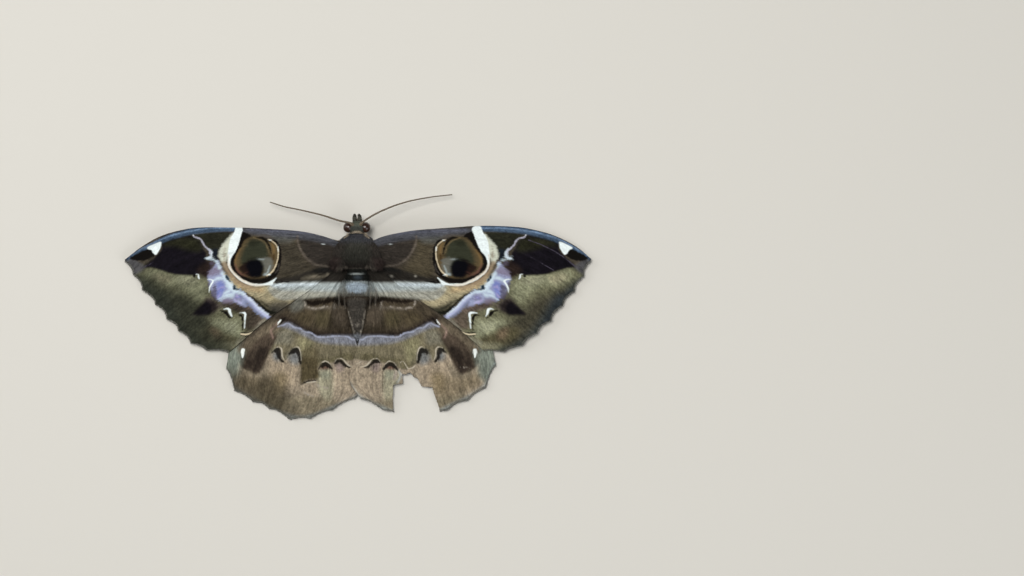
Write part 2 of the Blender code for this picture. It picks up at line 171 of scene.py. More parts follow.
BODY_AXIS = [(-8.1, 3.5), (8.0, 5.0), (12.5, 5.5), (16.5, 5.2), (20.1, 5.0)]
BODY_BLEND = 0.28
SKIN_COLUMNS = 96
SKIN_ROWS = 190
SKIN_SHADE = 0.6

# Coat of the body, from the tail to the face: how far the skin lies inside it and how long its scales are
COAT_DEPTHS = ((-8.0, 6.0, 9.0, 16.0, 17.5, 20.0), (0.2, 0.3, 0.45, 0.45, 0.3, 0.22))
COAT_LENGTHS = ((-8, -4, 0, 6, 8, 12, 16, 17.3, 18.5, 20),
                (0.6, 1.1, 1.1, 1.0, 1.0, 1.4, 1.1, 0.7, 0.45, 0.5))
COAT_COUNT = 18500
COAT_WIDTH = 0.075
COAT_SINK = 0.06
COAT_LIFT = 0.16

# The head starts here and has a denser coat, and in front of the face line the scales point forwards
HEAD_START = 16.7
FACE_LINE = 19.3

# The groove between head and thorax, where the hairs stand up: its place and its half-width
NECK = 16.92
NECK_WIDTH = 0.22

# Tufts on both flanks under the forewing roots: place along the body, reach to each side of it, least
# distance from the midline, the height where they start and the one below which they splay further
FLANK = 9.9
FLANK_REACH = 1.7
FLANK_OUT = 2.9
FLANK_FLOOR = 3.2
FLANK_TOP = 6.4

# A short crest where the thorax meets the abdomen: middle and half sizes
CREST = (0.0, 7.4)
CREST_SIZE = (1.8, 1.3)

# Underside of the body: its colour, its top from the tail to the thorax, and the width over which it fades
BELLY_COLOUR = "#4c463c"
BELLY_LEVELS = ((-8, 5, 9), (3.0, 4.2, 3.4))
BELLY_FADE = 1.2

EYE_PLACE = (1.95, 18.4, 5.1)
EYE_RADIUS = 1.25
FEELER_PATHS = {
    "left": [(-0.8, 18.9, 6.2), (-1.6, 19.4, 6.9), (-3.5, 19.8, 6.7), (-8.0, 21.2, 5.8), (-12.9, 22.4, 4.8),
             (-17.5, 23.4, 3.8), (-20.6, 24.4, 3.2)],
    "right": [(0.8, 18.9, 6.2), (1.6, 19.7, 6.9), (3.2, 20.8, 6.7), (6.7, 22.6, 5.9), (10.7, 24.1, 5.0),
              (16.5, 25.4, 3.8), (22.3, 26.15, 2.9)],
}
FEELER_PROFILE = ((0.0, 0.03, 0.05, 0.09, 1.0), (0.42, 0.40, 0.26, 0.24, 0.13))
FEELER_RINGS = 62
FEELER_GROOVE = 0.16
PALP_PATH = [(0.6, 18.2, 3.8), (0.6, 19.9, 3.6), (0.58, 20.8, 4.4), (0.52, 21.2, 5.4), (0.48, 21.3, 6.2)]
PALP_PROFILE = ((0.0, 0.25, 0.5, 0.75, 1.0), (0.44, 0.52, 0.5, 0.36, 0.16))
PALP_WIDTH = 0.06
TONGUE_ROOT = (0.0, 19.2, 4.3)
TONGUE_CENTRE = (0.0, 19.6, 2.2)
TONGUE_START = math.radians(95.0)
TONGUE_TURNS = 1.6
TONGUE_RADII = (1.30, 0.40)
TONGUE_THICKNESS = 0.24
TONGUE_RIDGES = 90

# Places of each leg's joints, from the body to the toe, and the radii of its thigh and shin
LEGS = {
    "foreleg": [(1.9, 14.6, 2.9), (4.6, 15.0, 2.9), (6.6, 15.3, 0.95), (7.2, 15.4, 0.24),
                (10.4, 15.9, 0.24)],
    "midleg": [(2.5, 12.0, 2.6), (8.2, 10.4, 3.2), (12.0, 8.2, 0.95), (12.7, 7.8, 0.24),
               (16.2, 6.4, 0.24)],
    "hindleg": [(2.0, 11.3, 3.0), (6.4, 5.6, 2.5), (9.6, -0.6, 0.85), (9.9, -1.3, 0.24),
                (11.2, -5.4, 0.24)],
}
THIGH_PROFILE = ((0.0, 0.3, 0.8, 1.0), (0.5, 0.58, 0.4, 0.3))
SHIN_PROFILE = ((0.0, 0.2, 0.8, 1.0), (0.28, 0.40, 0.32, 0.24))
LEG_BOW = 0.12
CLAW_LENGTH = 0.42
SPUR_LENGTH = 1.0
UPPER_SPUR_LENGTH = 0.9
SPIKE_SPREAD = 0.35
SPIKE_RADIUS = 0.085

# Scales on palps and legs, with their length at the start and how much shorter they are at the end, and
# the least height of their tips above the floor
PALP_SCALES = {"count": 620, "longest": 0.5, "taper": 0.2, "lift": 0.25, "colour": "#6b6a5f"}
THIGH_SCALES = {"count": 420, "longest": 0.75, "taper": 0.2, "lift": 0.15, "colour": "#4a4238"}
SHIN_SCALES = {"count": 460, "longest": 0.7, "taper": 0.25, "lift": 0.2, "colour": "#554c40"}
FOOT_SCALES = {"count": 220, "longest": 0.24, "taper": 0.05, "lift": 0.1, "colour": "#6a6153"}
LEG_SCALE_WIDTH = 0.055
LEAST_HEIGHT = 0.15

# Soft lights, all turned to the moth, with places and sizes in mm and power in watts
LIGHTS = {
    "key": {"place": (-80, 150, 760), "size": 260, "power": 4.6, "colour": (1.0, 0.99, 0.97)},
    "fill": {"place": (380, -300, 420), "size": 420, "power": 1.1, "colour": (0.95, 0.97, 1.0)},
    "side": {"place": (-420, 200, 360), "size": 380, "power": 1.0, "colour": (0.97, 0.98, 1.0)},
}
SKY_COLOUR = (0.8, 0.81, 0.82, 1.0)
SKY_STRENGTH = 0.16

# Beyond this distance from a shape of the pattern, in mm, the distance isn't measured, and a vein that
# doesn't reach a place counts as this far from it
FAR = 2.5
NO_VEIN = 9.0


def area(places, side=None):
    """A closed patch of colour with a smooth outline."""
    return {"kind": "area", "places": places, "side": side}


def line(places, widths, side=None):
    """A streak of colour along a smooth line, with half-widths spread evenly along it."""
    return {"kind": "line", "places": places, "widths": widths, "side": side}


def spot(place, halves, side=None):
    """A small egg-shaped patch of colour."""
    return {"kind": "spot", "places": [place], "halves": halves, "side": side}


def both(shape):
    """The shape and its mirror image across the midline."""
    return [shape, {**shape, "places": [(-x, y) for x, y in shape["places"]]}]


def tone(colour, edge, strength, shapes):
    """Soft ground colour on some shapes, with the width over which it fades and how strong it is."""
    return {"colour": colour, "shapes": shapes, "edge": edge, "strength": strength}


def ground(colour):
    """The lowest coat of scales, which covers everything."""
    return tone(colour, 0.1, 1.0, [area([(-90, 90), (90, 90), (90, -90), (-90, -90)])])


def mark(name, colour, edge, strength, feather, shapes):
    """A marking with a crisp edge, which the rows of scales feather by about that much."""
    return tone(colour, edge, strength, shapes) | {"name": name, "feather": feather}


# The pale band across both wings
PALE_BAND = tone("#9ba3a2", 0.7, 1.0, [
    area([(-1, 5.6), (15, 5.4), (19.8, 5.0), (18, 3.8), (12, 3.6), (4, 3.4), (-1, 3.4)]),
])

# Ground colours of the forewing, from the lowest coat of scales upwards
FOREWING_TONES = [
    ground("#3f3930"),
    # the basal third
    tone("#342f2a", 0.5, 1.0, [area([(-1, 19), (12, 19), (14.3, 17), (13.9, 15), (13, 13), (11.6, 11),
        (9.4, 9.4), (5, 8.6), (-1, 8.6)])]),
    tone("#463f31", 1.2, 1.0, [area([(14.2, 15.5), (17.8, 15.8), (17.6, 11), (18, 8), (16, 6.2), (11, 8),
        (12, 10.2), (13.6, 12.5)])]),
    tone("#54544f", 0.9, 1.0, [area([(15, 17), (20, 17), (20.5, 15.8), (18, 14.8), (15.2, 15)])]),
    # the dark field above the pale band
    tone("#25221e", 0.6, 1.0, [area([(4, 9.0), (10, 8.6), (15, 7.2), (19.2, 6.3), (19, 5.6), (12, 5.7),
        (4, 5.8)])]),
    # the cream field behind the eyespot
    tone("#9c9275", 0.7, 1.0, [area([(19.5, 5.2), (23, 4.6), (27, 4.6), (31, 7), (33, 9), (32, 6),
        (29, 3.9), (26.5, 3.4), (23.5, 1.2), (21, -1), (18.5, -1.2), (15, 1.5), (16, 4.5)])]),
    tone("#a3906f", 0.6, 1.0, [area([(22.5, 4.4), (25, 4.3), (28, 5.3), (30.4, 6.8), (30.2, 5.8),
        (28.0, 4.2), (24.5, 3.4), (22, 3.2)])]),
    # the pale band, whitest along its front
    tone("#949387", 0.45, 1.0, [area([(-1, 5.6), (15, 5.4), (19.6, 5.1), (21, 4.2), (19.4, 2.0),
        (17.2, 1.3), (14, 1.6), (10, 2.0), (4, 2.4), (-1, 2.4)])]),
    PALE_BAND,
    tone("#b8c2c6", 0.35, 1.0, [area([(-1, 5.5), (10, 5.45), (19.6, 5.15), (19, 4.5), (12, 4.65),
        (-1, 4.75)])]),
    # the shade between the pale band and the lilac strip
    tone("#38362b", 0.75, 1.0, [area([(23.6, 1.5), (22.4, 0.3), (21.0, -1.0), (19.4, -1.9), (17.4, -1.6),
        (16.2, 0.0), (17.8, -0.2), (19.4, 0.0), (20.8, 0.5), (22.2, 1.3)])]),
    # the black triangle on the front edge, outside the white band
    tone("#23231a", 0.4, 1.0, [area([(30.4, 17.2), (38.6, 17.0), (38, 15.6), (36.4, 13.6), (35, 12.6),
        (33.6, 10.6), (33, 12), (31.6, 14.6)])]),
    tone("#171c24", 0.6, 1.0, [area([(33.2, 13.2), (34.6, 13.2), (35, 12.2), (34, 11), (33.2, 11)])]),
    # the outer field, slate grey along its edge
    tone("#67664f", 0.5, 1.0, [area([(36, 6.6), (40, 8), (45, 8), (51, 9.5), (57, 8), (50, -2), (40, -12),
        (28, -14), (20, -8), (21, -3), (25, 0.5), (31, 0.8), (34.5, 1.8)])]),
    tone("#7c7d64", 1.3, 1.0, [area([(37.5, 6.2), (41, 7.6), (45.5, 7.4), (48.4, 8.4), (50.2, 7.6),
        (48.8, 5.6), (45.8, 4.8), (43.4, 4.6), (41, 3.2), (38.6, 1.0), (36.6, 2.0), (36.2, 4.4)])]),
    tone("#94937a", 0.9, 0.6, [area([(38.4, 6.0), (41, 7.4), (43.4, 6.6), (42.8, 5.4), (40.4, 5.0)])]),
    tone("#948b72", 0.9, 0.45, [area([(45, 6.8), (48, 7.6), (49.4, 6.8), (47.4, 5.4), (45.4, 5.6)])]),
    tone("#403d31", 1.9, 1.0, [area([(38.8, -0.6), (41.6, 1.8), (45, 3.0), (49.2, 4.2), (50.5, 3.0),
        (47, -1), (44, -4), (40, -8), (36, -10), (33, -8.6), (34.4, -5.4), (36.2, -3.0)])]),
    tone("#2b3032", 1.6, 1.0, [area([(46, 2.0), (48.4, 3.4), (52, 6.4), (57, 6), (47, -7), (40, -13),
        (30, -14), (30, -10.8), (36, -9.2), (41, -5.6)])]),
    tone("#7f8067", 1.0, 1.0, [area([(27.8, -3.2), (30, -3.2), (33, -3.0), (34.8, -3.8), (34.0, -5.0),
        (31, -6.8), (28.2, -7.6), (26.9, -6.8), (27.6, -4.8)])]),
    tone("#94957c", 0.9, 0.7, [area([(28.6, -4.4), (30.4, -3.8), (32.2, -4.2), (31.4, -5.6),
        (29.4, -6.0)])]),
    tone("#4f4a36", 1.2, 1.0, [area([(29, -7.6), (33, -6.0), (36.5, -5.0), (38, -6.0), (36, -8.4),
        (31, -9.4), (27, -8.6)])]),
    tone("#6a5a48", 1.0, 0.7, [area([(33.2, -5.6), (35.2, -5.2), (34.8, -7.4), (33, -7.8)])]),
    tone("#574d42", 0.7, 1.0, [area([(22.4, -1.8), (24.6, 0.4), (28, 1.2), (31.6, 1.0), (31, -0.2),
        (28, -1.4), (26.2, -2.4), (26.2, -5.2), (24, -5.2), (22.2, -3.4)])]),
    tone("#665850", 0.8, 0.7, [area([(25.4, 0.3), (27, 0.6), (28, 0.2), (27.2, -1.0), (25.6, -1.2),
        (24.6, -1.0)])]),
    tone("#463b37", 0.8, 0.7, [area([(28.6, 0.7), (31, 0.6), (31.4, -0.1), (29.4, -0.6), (28.2, -0.3)])]),
    tone("#665e50", 0.9, 1.0, [area([(19.0, -2.6), (20.6, -2.9), (22.4, -3.6), (24.0, -5.6), (27, -7.4),
        (29, -9.0), (28, -11), (22, -6.4)])]),
    tone("#7c776b", 0.7, 0.85, [line([(20.2, -2.9), (21.6, -3.4), (22.8, -4.3), (24.2, -5.9)],
        [0.2, 0.3, 0.4, 0.1])]),
    tone("#7a7761", 0.8, 0.7, [area([(28.4, -8.8), (31, -8.6), (33.6, -9.2), (31.6, -10.6),
        (28.8, -10.6)])]),
    tone("#3b3832", 0.8, 0.85, [area([(20.4, 0.6), (17.6, 1.3), (16, 0.6), (17, -1.6), (20, -2.2)],
        "left")]),
    # pale scales along the back edge, near the corner
    tone("#84836f", 0.8, 0.8, [line([(25.4, -7.2), (27.0, -8.1), (28.8, -8.7)], [0.2, 0.45, 0.3])]),
    # painted shade: the left wing is darker from its middle to its outer edge, as if less light fell on that
    # side
    tone("#2d2f26", 1.6, 0.3, [area([(35, 8), (57, 9), (50, -4), (40, -14), (27, -14), (27, -7), (31, -2.4),
        (35, 1)], "left")]),
    tone("#2b2d24", 1.9, 0.8, [area([(36.6, -0.6), (40.6, 2.6), (45.4, 4.4), (50, 6.6), (57, 9), (50, -4),
        (40, -14), (29, -13), (31.6, -8), (35.6, -5)], "left")]),
    tone("#2e2922", 0.9, 0.75, [area([(23.2, -1.8), (25.2, -0.4), (28.6, 0.8), (32.2, 0.9), (31.8, -1.0),
        (28.8, -1.9), (27.0, -3.0), (26.6, -5.6), (25, -6.2), (23.6, -4.0)], "left")]),
    tone("#35312a", 1.2, 0.7, [area([(13, 14.4), (18, 14.8), (17.8, 11), (18.2, 8), (16, 6.8), (11, 8),
        (12, 10.4), (13.2, 12.2)], "left")]),
    # the dark field below the tip
    tone("#110e14", 0.3, 1.0, [area([(40.0, 16.6), (44, 16.1), (47.0, 15.2), (47.3, 13.2), (48.6, 11.7),
        (50.6, 9.9), (51.6, 9.0), (49.4, 8.9), (47.0, 8.2), (44, 7.4), (40.8, 7.2), (38.8, 7.2),
        (36.4, 8.2), (35.2, 9.6), (36.4, 10.9), (36.2, 12.2), (37.2, 13.6), (38.0, 15.2)])]),
    tone("#232317", 1.0, 1.0, [area([(38.6, 15.8), (42, 16.1), (45.6, 15.3), (46.6, 14.2), (44, 14.0),
        (41, 13.2), (38.4, 12.8), (37.4, 13.6)])]),
    tone("#241b18", 0.8, 1.0, [area([(35.2, 10.4), (37.2, 9.8), (38.6, 8.4), (37.4, 7.0), (35.8, 6.8),
        (34.6, 8.4)])]),
    tone("#4b4a4b", 0.5, 1.0, [area([(51.0, 9.0), (52.4, 10.4), (54.0, 11.6), (56, 11.4), (55.4, 8.6),
        (53.2, 7.4)])]),
    # the dark spot, with a soft violet-brown side
    tone("#3f3634", 0.9, 0.85, [area([(31.8, 0.2), (33.0, 0.9), (34.4, 1.8), (36.2, 1.9), (36.4, 0.4),
        (35.0, -1.2), (33.4, -1.0)])]),
    tone("#1d1719", 0.7, 0.9, [area([(33.6, 0.4), (34.8, 1.4), (36.4, 1.4), (38.2, -0.3), (39.4, -1.9),
        (37.4, -2.2), (35.2, -2.1), (33.8, -1.2)])]),
    tone("#0e0b10", 0.4, 1.0, [area([(35.0, 0.2), (36.0, 0.9), (37.0, 0.4), (38.4, -0.9), (39.4, -1.95),
        (37.4, -2.1), (35.6, -2.0), (34.9, -1.0)])]),
    # slate strips along the front edge; the blue-grey strip from the middle to the tip is partly its own
    # colour and partly a painted sheen, palest along the edge
    tone("#494a4f", 0.6, 1.0, [line([(3, 14.6), (8, 16.0), (14, 16.8), (20, 17.2), (27, 17.7)],
        [1.1, 1.2, 1.0, 0.9, 0.6])]),
    tone("#535560", 0.35, 0.8, [line([(8, 16.7), (14, 17.3), (20, 17.6), (25.5, 17.9)],
        [0.2, 0.35, 0.35, 0.3])]),
    tone("#3d4d60", 0.3, 1.0, [line([(28.5, 18.2), (34, 18.25), (40, 17.5), (46, 15.9), (51, 13.4),
        (54.6, 11.1)], [0.7, 0.9, 0.75, 0.6, 0.45, 0.3])]),
    tone("#6d839d", 0.22, 1.0, [line([(29, 18.3), (34, 18.3), (40, 17.65), (46, 16.2), (51, 13.85),
        (54.0, 11.9)], [0.12, 0.14, 0.14, 0.12, 0.1, 0.08])]),
    # curved line, dot and shades of the base
    tone("#655c52", 0.3, 0.85, [line([(13.9, 16.3), (13.8, 14.7), (13.1, 13.1), (11.7, 11.1), (9.7, 9.75),
        (7.2, 9.3), (4.6, 9.2)], [0.16, 0.18, 0.2, 0.16])]),
    tone("#1d1c1a", 0.5, 1.0, [line([(6.2, 8.6), (8.0, 8.5), (10.2, 8.2)], [0.5, 0.6, 0.2])]),
    tone("#8f8b80", 0.3, 1.0, [spot((8.1, 7.0), (0.3, 0.22), "right"), spot((13.7, 7.0), (0.2, 0.15),
        "right")]),
    tone("#6b6455", 0.6, 0.7, [area([(6.7, 7.5), (8.4, 7.2), (10.4, 7.4), (13.0, 6.4), (11.6, 6.2),
        (8.6, 6.4), (7.0, 6.6)], "left")]),
    tone("#857c6c", 0.4, 0.8, [spot((7.0, 7.2), (0.25, 0.35), "left"), spot((9.6, 6.9), (0.6, 0.15),
        "left")]),
]

# Markings of the forewing, in the order in which they lie over one another
FOREWING_MARKS = [
    mark("soot", "#0f0c0a", 0.2, 1.0, 0.1, [
        area([(24.5, 16.2), (25.6, 16.9), (26.6, 17.4), (27.2, 17.0), (27.9, 15.2), (28.6, 13.9),
            (29.1, 12.9), (29.9, 11.9), (30.5, 10.6), (30.4, 9.3), (29.7, 8.1), (28.4, 7.0), (26.6, 6.2),
            (25.2, 5.5), (23.0, 5.3), (21.2, 5.6), (20.0, 6.3), (18.8, 7.2), (18.1, 8.8), (17.7, 10.6),
            (17.8, 13.2), (18.4, 14.8), (19.4, 15.7), (21.0, 16.0), (22.6, 16.3)]),
        area([(49.2, 12.9), (50.5, 13.3), (52.2, 12.55), (53.8, 11.6), (54.1, 11.0), (53.0, 10.7),
            (51.2, 10.7), (50.0, 11.1), (49.0, 11.9)]),
        line([(32.8, -1.1), (31.9, -1.35), (31.35, -1.75), (30.9, -2.5), (30.2, -2.85)],
            [0.08, 0.3, 0.38, 0.24, 0.08]),
        line([(28.6, -2.2), (27.7, -2.15), (27.2, -2.7), (27.1, -3.7), (27.05, -4.7), (27.2, -5.6)],
            [0.06, 0.22, 0.3, 0.22, 0.2, 0.12]),
        line([(23.3, -5.2), (24.4, -5.95), (25.9, -6.35), (27.5, -6.3)], [0.08, 0.14, 0.16, 0.14]),
        line([(24.2, -6.6), (25.9, -7.05), (27.5, -6.95)], [0.05, 0.16, 0.12]),
        line([(17.6, -2.9), (18.3, -3.7), (18.8, -4.5)], [0.12, 0.2, 0.14]),
        line([(19.2, -3.0), (19.8, -3.9)], [0.1, 0.1]),
        line([(16.0, 5.75), (17.8, 5.65), (19.0, 5.5), (18.9, 6.2)], [0.12, 0.2, 0.15, 0.1]),
        spot((39.25, 7.05), (0.4, 0.35)),
    ]),
    mark("smoke", "#4d4843", 0.3, 0.8, 0.14, [
        area([(19.4, 15.6), (20.8, 16.7), (23.6, 16.6), (24.6, 16.25), (22.6, 16.2), (21.0, 15.8)]),
        line([(18.3, 9.8), (18.5, 8.6), (19.2, 7.7)], [0.05, 0.1, 0.05]),
    ]),
    mark("fawn", "#574a33", 0.35, 1.0, 0.14, [
        area([(20.8, 15.2), (22.2, 16.0), (24.4, 16.2), (26.2, 15.5), (27.6, 13.6), (28.8, 11.9),
            (29.5, 10.4), (29.2, 9.1), (27.9, 7.8), (26.4, 7.0), (24.4, 6.4), (22.0, 6.6), (20.2, 7.5),
            (19.1, 9.3), (18.6, 11.2), (18.6, 13.4), (19.4, 14.7)]),
    ]),
    mark("amber", "#84673e", 0.5, 0.65, 0.14, [
        line([(20.0, 14.7), (19.5, 13.6), (19.5, 12.4)], [0.02, 0.25, 0.1]),
        line([(27.6, 13.4), (28.6, 12.0), (29.1, 10.6), (28.9, 9.6)], [0.0, 0.12, 0.16, 0.05]),
    ]),
    mark("umber", "#38260f", 0.4, 0.8, 0.14, [
        line([(19.5, 12.0), (19.7, 11.0), (20.2, 10.2)], [0.15, 0.3, 0.1]),
        line([(20.0, 11.9), (21.4, 11.7), (22.8, 11.8)], [0.1, 0.22, 0.05]),
    ]),
    mark("dusky", "#6a4a3e", 0.35, 0.8, 0.14, [
        line([(29.2, 9.7), (28.4, 8.3), (27.2, 7.5), (25.8, 7.0)], [0.15, 0.3, 0.25, 0.12]),
    ]),
    mark("olive", "#303226", 0.95, 1.0, 0.14, [
        area([(22.4, 15.6), (24.2, 15.85), (25.6, 15.2), (26.7, 13.4), (27.4, 11.8), (27.6, 10.4),
            (26.8, 9.0), (25.2, 7.8), (23.6, 7.2), (22.2, 7.8), (21.2, 9.2), (20.6, 11.4), (20.7, 13.0),
            (21.2, 14.6)]),
    ]),
    mark("olive_shade", "#202117", 0.5, 0.7, 0.14, [
        area([(22.8, 15.2), (24.6, 15.4), (25.4, 14.6), (25.0, 13.9), (23.4, 14.3)]),
        line([(23.6, 11.4), (25.0, 11.2), (26.4, 10.2)], [0.1, 0.2, 0.1]),
    ]),
    mark("pearl", "#63635b", 0.45, 0.9, 0.3, [
        area([(20.6, 11.2), (22.0, 11.3), (23.2, 11.0), (22.5, 10.3), (22.1, 9.4), (22.0, 8.4), (22.1, 7.5),
            (21.6, 7.0), (20.9, 7.2), (20.1, 8.2), (19.7, 9.6), (19.9, 10.8)]),
    ]),
    mark("pearl_light", "#a9b6b6", 0.3, 0.85, 0.14, [
        spot((21.3, 7.4), (0.45, 0.2)),
        spot((22.9, 10.95), (0.35, 0.1)),
        line([(20.4, 9.4), (20.8, 8.4), (21.0, 7.8)], [0.05, 0.12, 0.1]),
    ]),
    mark("pupil_glow", "#1c100e", 0.55, 0.95, 0.14, [
        area([(24.6, 10.6), (26.4, 10.1), (28.1, 9.0), (27.5, 8.0), (25.8, 7.0), (24.2, 6.7), (24.2, 8.8)]),
    ]),
    mark("ember", "#4a3029", 0.25, 0.8, 0.14, [
        line([(24.6, 8.5), (25.6, 8.0), (26.6, 7.6)], [0.02, 0.1, 0.05]),
    ]),
    mark("pupil", "#040409", 0.6, 1.0, 0.15, [
        area([(22.4, 10.3), (23.5, 11.0), (25.2, 10.7), (26.1, 9.8), (26.0, 8.8), (25.5, 7.6), (24.6, 6.6),
            (22.8, 6.7), (22.1, 7.6), (21.9, 8.9)]),
    ]),
    mark("arc", "#14100c", 0.16, 1.0, 0.08, [
        line([(23.7, 15.95), (22.2, 15.9), (21.2, 15.1), (20.6, 14.1), (20.3, 13.1), (20.1, 12.2)],
            [0.08, 0.26, 0.28, 0.2, 0.16, 0.12]),
    ]),
    mark("tan", "#6f6146", 0.18, 0.8, 0.14, [
        line([(24.3, 16.05), (22.8, 15.55), (21.6, 14.7), (21.0, 13.6), (20.7, 12.5)],
            [0.05, 0.07, 0.07, 0.08, 0.05]),
    ]),
    mark("cream", "#d2c3a4", 0.17, 0.95, 0.06, [
        line([(20.9, 15.7), (20.2, 15.4), (19.0, 14.4), (18.5, 13.2), (18.5, 11.6), (18.8, 10.2),
            (19.3, 8.9), (20.1, 7.8), (21.1, 7.1)], [0.05, 0.12, 0.13, 0.16, 0.13, 0.12, 0.13, 0.15, 0.14]),
        line([(23.6, -5.65), (24.6, -6.25), (26.1, -6.7), (27.6, -6.6)], [0.05, 0.16, 0.18, 0.14]),
    ]),
    mark("ink", "#14150f", 0.32, 1.0, 0.1, [
        line([(28.6, 4.0), (27.6, 3.6), (26.6, 3.05), (25.4, 2.45), (24.4, 1.75), (23.4, 0.95), (22.7, 0.2),
            (21.9, -0.5), (20.9, -1.35), (20.0, -1.6), (19.2, -1.6)],
            [0.1, 0.14, 0.2, 0.2, 0.24, 0.28, 0.4, 0.5, 0.3]),
    ]),
    mark("lilac", "#9298b6", 0.45, 0.92, 0.25, [
        area([(33.2, 10.6), (33.9, 9.8), (34.6, 8.8), (35.5, 7.6), (36.0, 6.4), (35.4, 4.8), (34.9, 3.2),
            (33.9, 2.0), (32.6, 1.2), (30.8, 1.3), (29.0, 0.7), (27.6, 0.3), (26.0, 0.0), (26.2, 2.6),
            (27.4, 3.6), (28.8, 3.7), (29.9, 4.6), (30.8, 5.9), (31.7, 7.2), (32.6, 8.6), (33.0, 9.8)]),
        line([(27.0, 2.2), (25.7, 1.3), (24.6, 0.2), (23.5, -0.9), (22.5, -1.7), (21.4, -2.4),
            (20.3, -3.0)], [0.7, 0.64, 0.62, 0.58, 0.52, 0.46, 0.35]),
    ]),
    mark("heather", "#786f82", 0.6, 0.85, 0.3, [
        area([(32.7, 9.0), (34.0, 9.0), (35.4, 8.2), (35.7, 7.1), (34.2, 7.2), (32.7, 7.8)]),
        area([(27.5, 2.9), (28.8, 2.6), (29.3, 1.8), (28.6, 1.3), (27.5, 1.5)]),
        area([(30.0, 1.9), (32.4, 1.8), (32.2, 0.9), (30.2, 0.8)]),
    ]),
    mark("haze", "#6c7690", 0.5, 0.7, 0.3, [
        line([(26.2, 0.9), (25.2, 0.1), (24.3, -0.8), (23.2, -1.8), (22.0, -2.7)],
            [0.25, 0.3, 0.2, 0.16, 0.1]),
        line([(28.0, 3.3), (27.4, 2.2), (26.6, 1.6)], [0.02, 0.14, 0.1]),
    ]),
    mark("violet", "#6d78b4", 0.6, 0.85, 0.3, [
        area([(31.9, 5.4), (32.8, 5.9), (33.6, 5.2), (33.8, 3.6), (33.6, 2.2), (32.8, 1.6), (32.2, 2.8),
            (31.8, 4.2)]),
        spot((28.3, 2.1), (0.5, 0.35)),
    ]),
    mark("dusk", "#4c4655", 0.45, 0.8, 0.3, [
        area([(33.7, 4.9), (34.5, 4.3), (35.1, 3.0), (34.5, 1.9), (33.6, 1.8), (33.5, 3.2)]),
        area([(34.2, 10.5), (35.3, 10.4), (35.2, 9.6), (34.4, 9.5)]),
        spot((35.5, 5.1), (0.3, 0.5)),
    ]),
    mark("frost", "#c9dbe4", 0.5, 0.85, 0.3, [
        line([(32.3, 7.6), (31.6, 6.4), (30.7, 5.0), (29.9, 4.0), (28.6, 3.4), (27.2, 3.1), (26.4, 2.4)],
            [0.3, 0.5, 0.7, 0.72, 0.5, 0.32, 0.25]),
        line([(29.4, 3.2), (30.2, 2.5), (31.4, 2.4), (32.2, 1.9)], [0.2, 0.4, 0.35, 0.1]),
        line([(31.6, 6.3), (33.0, 6.5), (34.4, 6.0)], [0.2, 0.35, 0.2]),
        line([(30.8, 3.4), (31.8, 2.9), (32.2, 2.0), (32.9, 1.5)], [0.35, 0.2, 0.12, 0.1]),
        line([(36.2, 11.25), (35.2, 11.15), (34.0, 10.7), (33.2, 9.9), (32.9, 8.9)],
            [0.14, 0.2, 0.16, 0.18, 0.2]),
    ]),
    mark("mist", "#b6bcda", 0.35, 0.85, 0.2, [
        line([(26.4, 2.4), (25.3, 1.5), (24.2, 0.35), (23.1, -0.8), (22.2, -1.6), (21.2, -2.4)],
            [0.3, 0.34, 0.36, 0.38, 0.36, 0.3]),
        line([(28.4, 1.1), (27.4, 0.6)], [0.14, 0.1]),
    ]),
    mark("petal", "#a39bc2", 0.3, 0.85, 0.25, [
        line([(32.0, 4.4), (32.8, 4.5), (33.3, 3.8)], [0.05, 0.16, 0.05]),
        line([(29.4, 1.5), (28.6, 1.0), (27.6, 0.7)], [0.1, 0.2, 0.14]),
        line([(33.4, 1.9), (32.9, 2.5), (32.6, 3.1)], [0.04, 0.14, 0.04]),
        line([(28.9, 2.9), (28.6, 2.3), (28.0, 1.9)], [0.05, 0.12, 0.05]),
    ]),
    mark("rime", "#d3dfe8", 0.32, 0.85, 0.14, [
        line([(35.45, 13.3), (34.95, 12.6), (34.9, 11.9), (35.3, 11.4), (36.2, 11.1)],
            [0.14, 0.3, 0.26, 0.28, 0.1]),
        line([(26.6, 2.8), (25.5, 1.9), (24.4, 0.9), (23.4, -0.2), (22.3, -1.1), (21.0, -2.0)],
            [0.1, 0.15, 0.14, 0.16, 0.14, 0.1]),
        line([(31.0, 5.6), (30.2, 4.4), (29.2, 3.6)], [0.1, 0.2, 0.1]),
    ]),
    mark("navy", "#1f2e39", 0.25, 1.0, 0.14, [
        area([(27.9, 3.75), (28.9, 4.2), (29.4, 4.9), (29.75, 4.85), (29.7, 3.8)]),
        area([(31.4, 7.3), (31.5, 6.6), (30.8, 5.8), (30.35, 5.7), (30.9, 6.7)]),
    ]),
    mark("mauve", "#b1b0bd", 0.2, 0.92, 0.1, [
        line([(39.6, 16.65), (39.1, 16.15), (37.9, 15.8), (37.25, 15.2), (36.75, 14.3), (36.0, 13.55),
            (35.2, 12.9), (35.3, 12.3)], [0.12, 0.15, 0.15, 0.17, 0.17, 0.18, 0.2, 0.16]),
    ]),
    mark("ash", "#4b4652", 0.15, 0.9, 0.14, [
        line([(40.2, 15.5), (42.3, 14.75), (46.1, 12.95), (48.6, 11.3), (50.2, 10.0), (51.9, 8.8)],
            [0.02, 0.06, 0.07, 0.07, 0.1, 0.1], "right"),
        line([(38.0, 12.8), (40.5, 11.6), (43.2, 10.1), (46.1, 8.3)], [0.0, 0.02, 0.03, 0.0], "right"),
        line([(49.3, 10.4), (50.4, 9.6), (51.8, 8.9)], [0.02, 0.08, 0.08], "left"),
    ]),
    mark("celadon", "#c6c9b8", 0.4, 0.95, 0.2, [
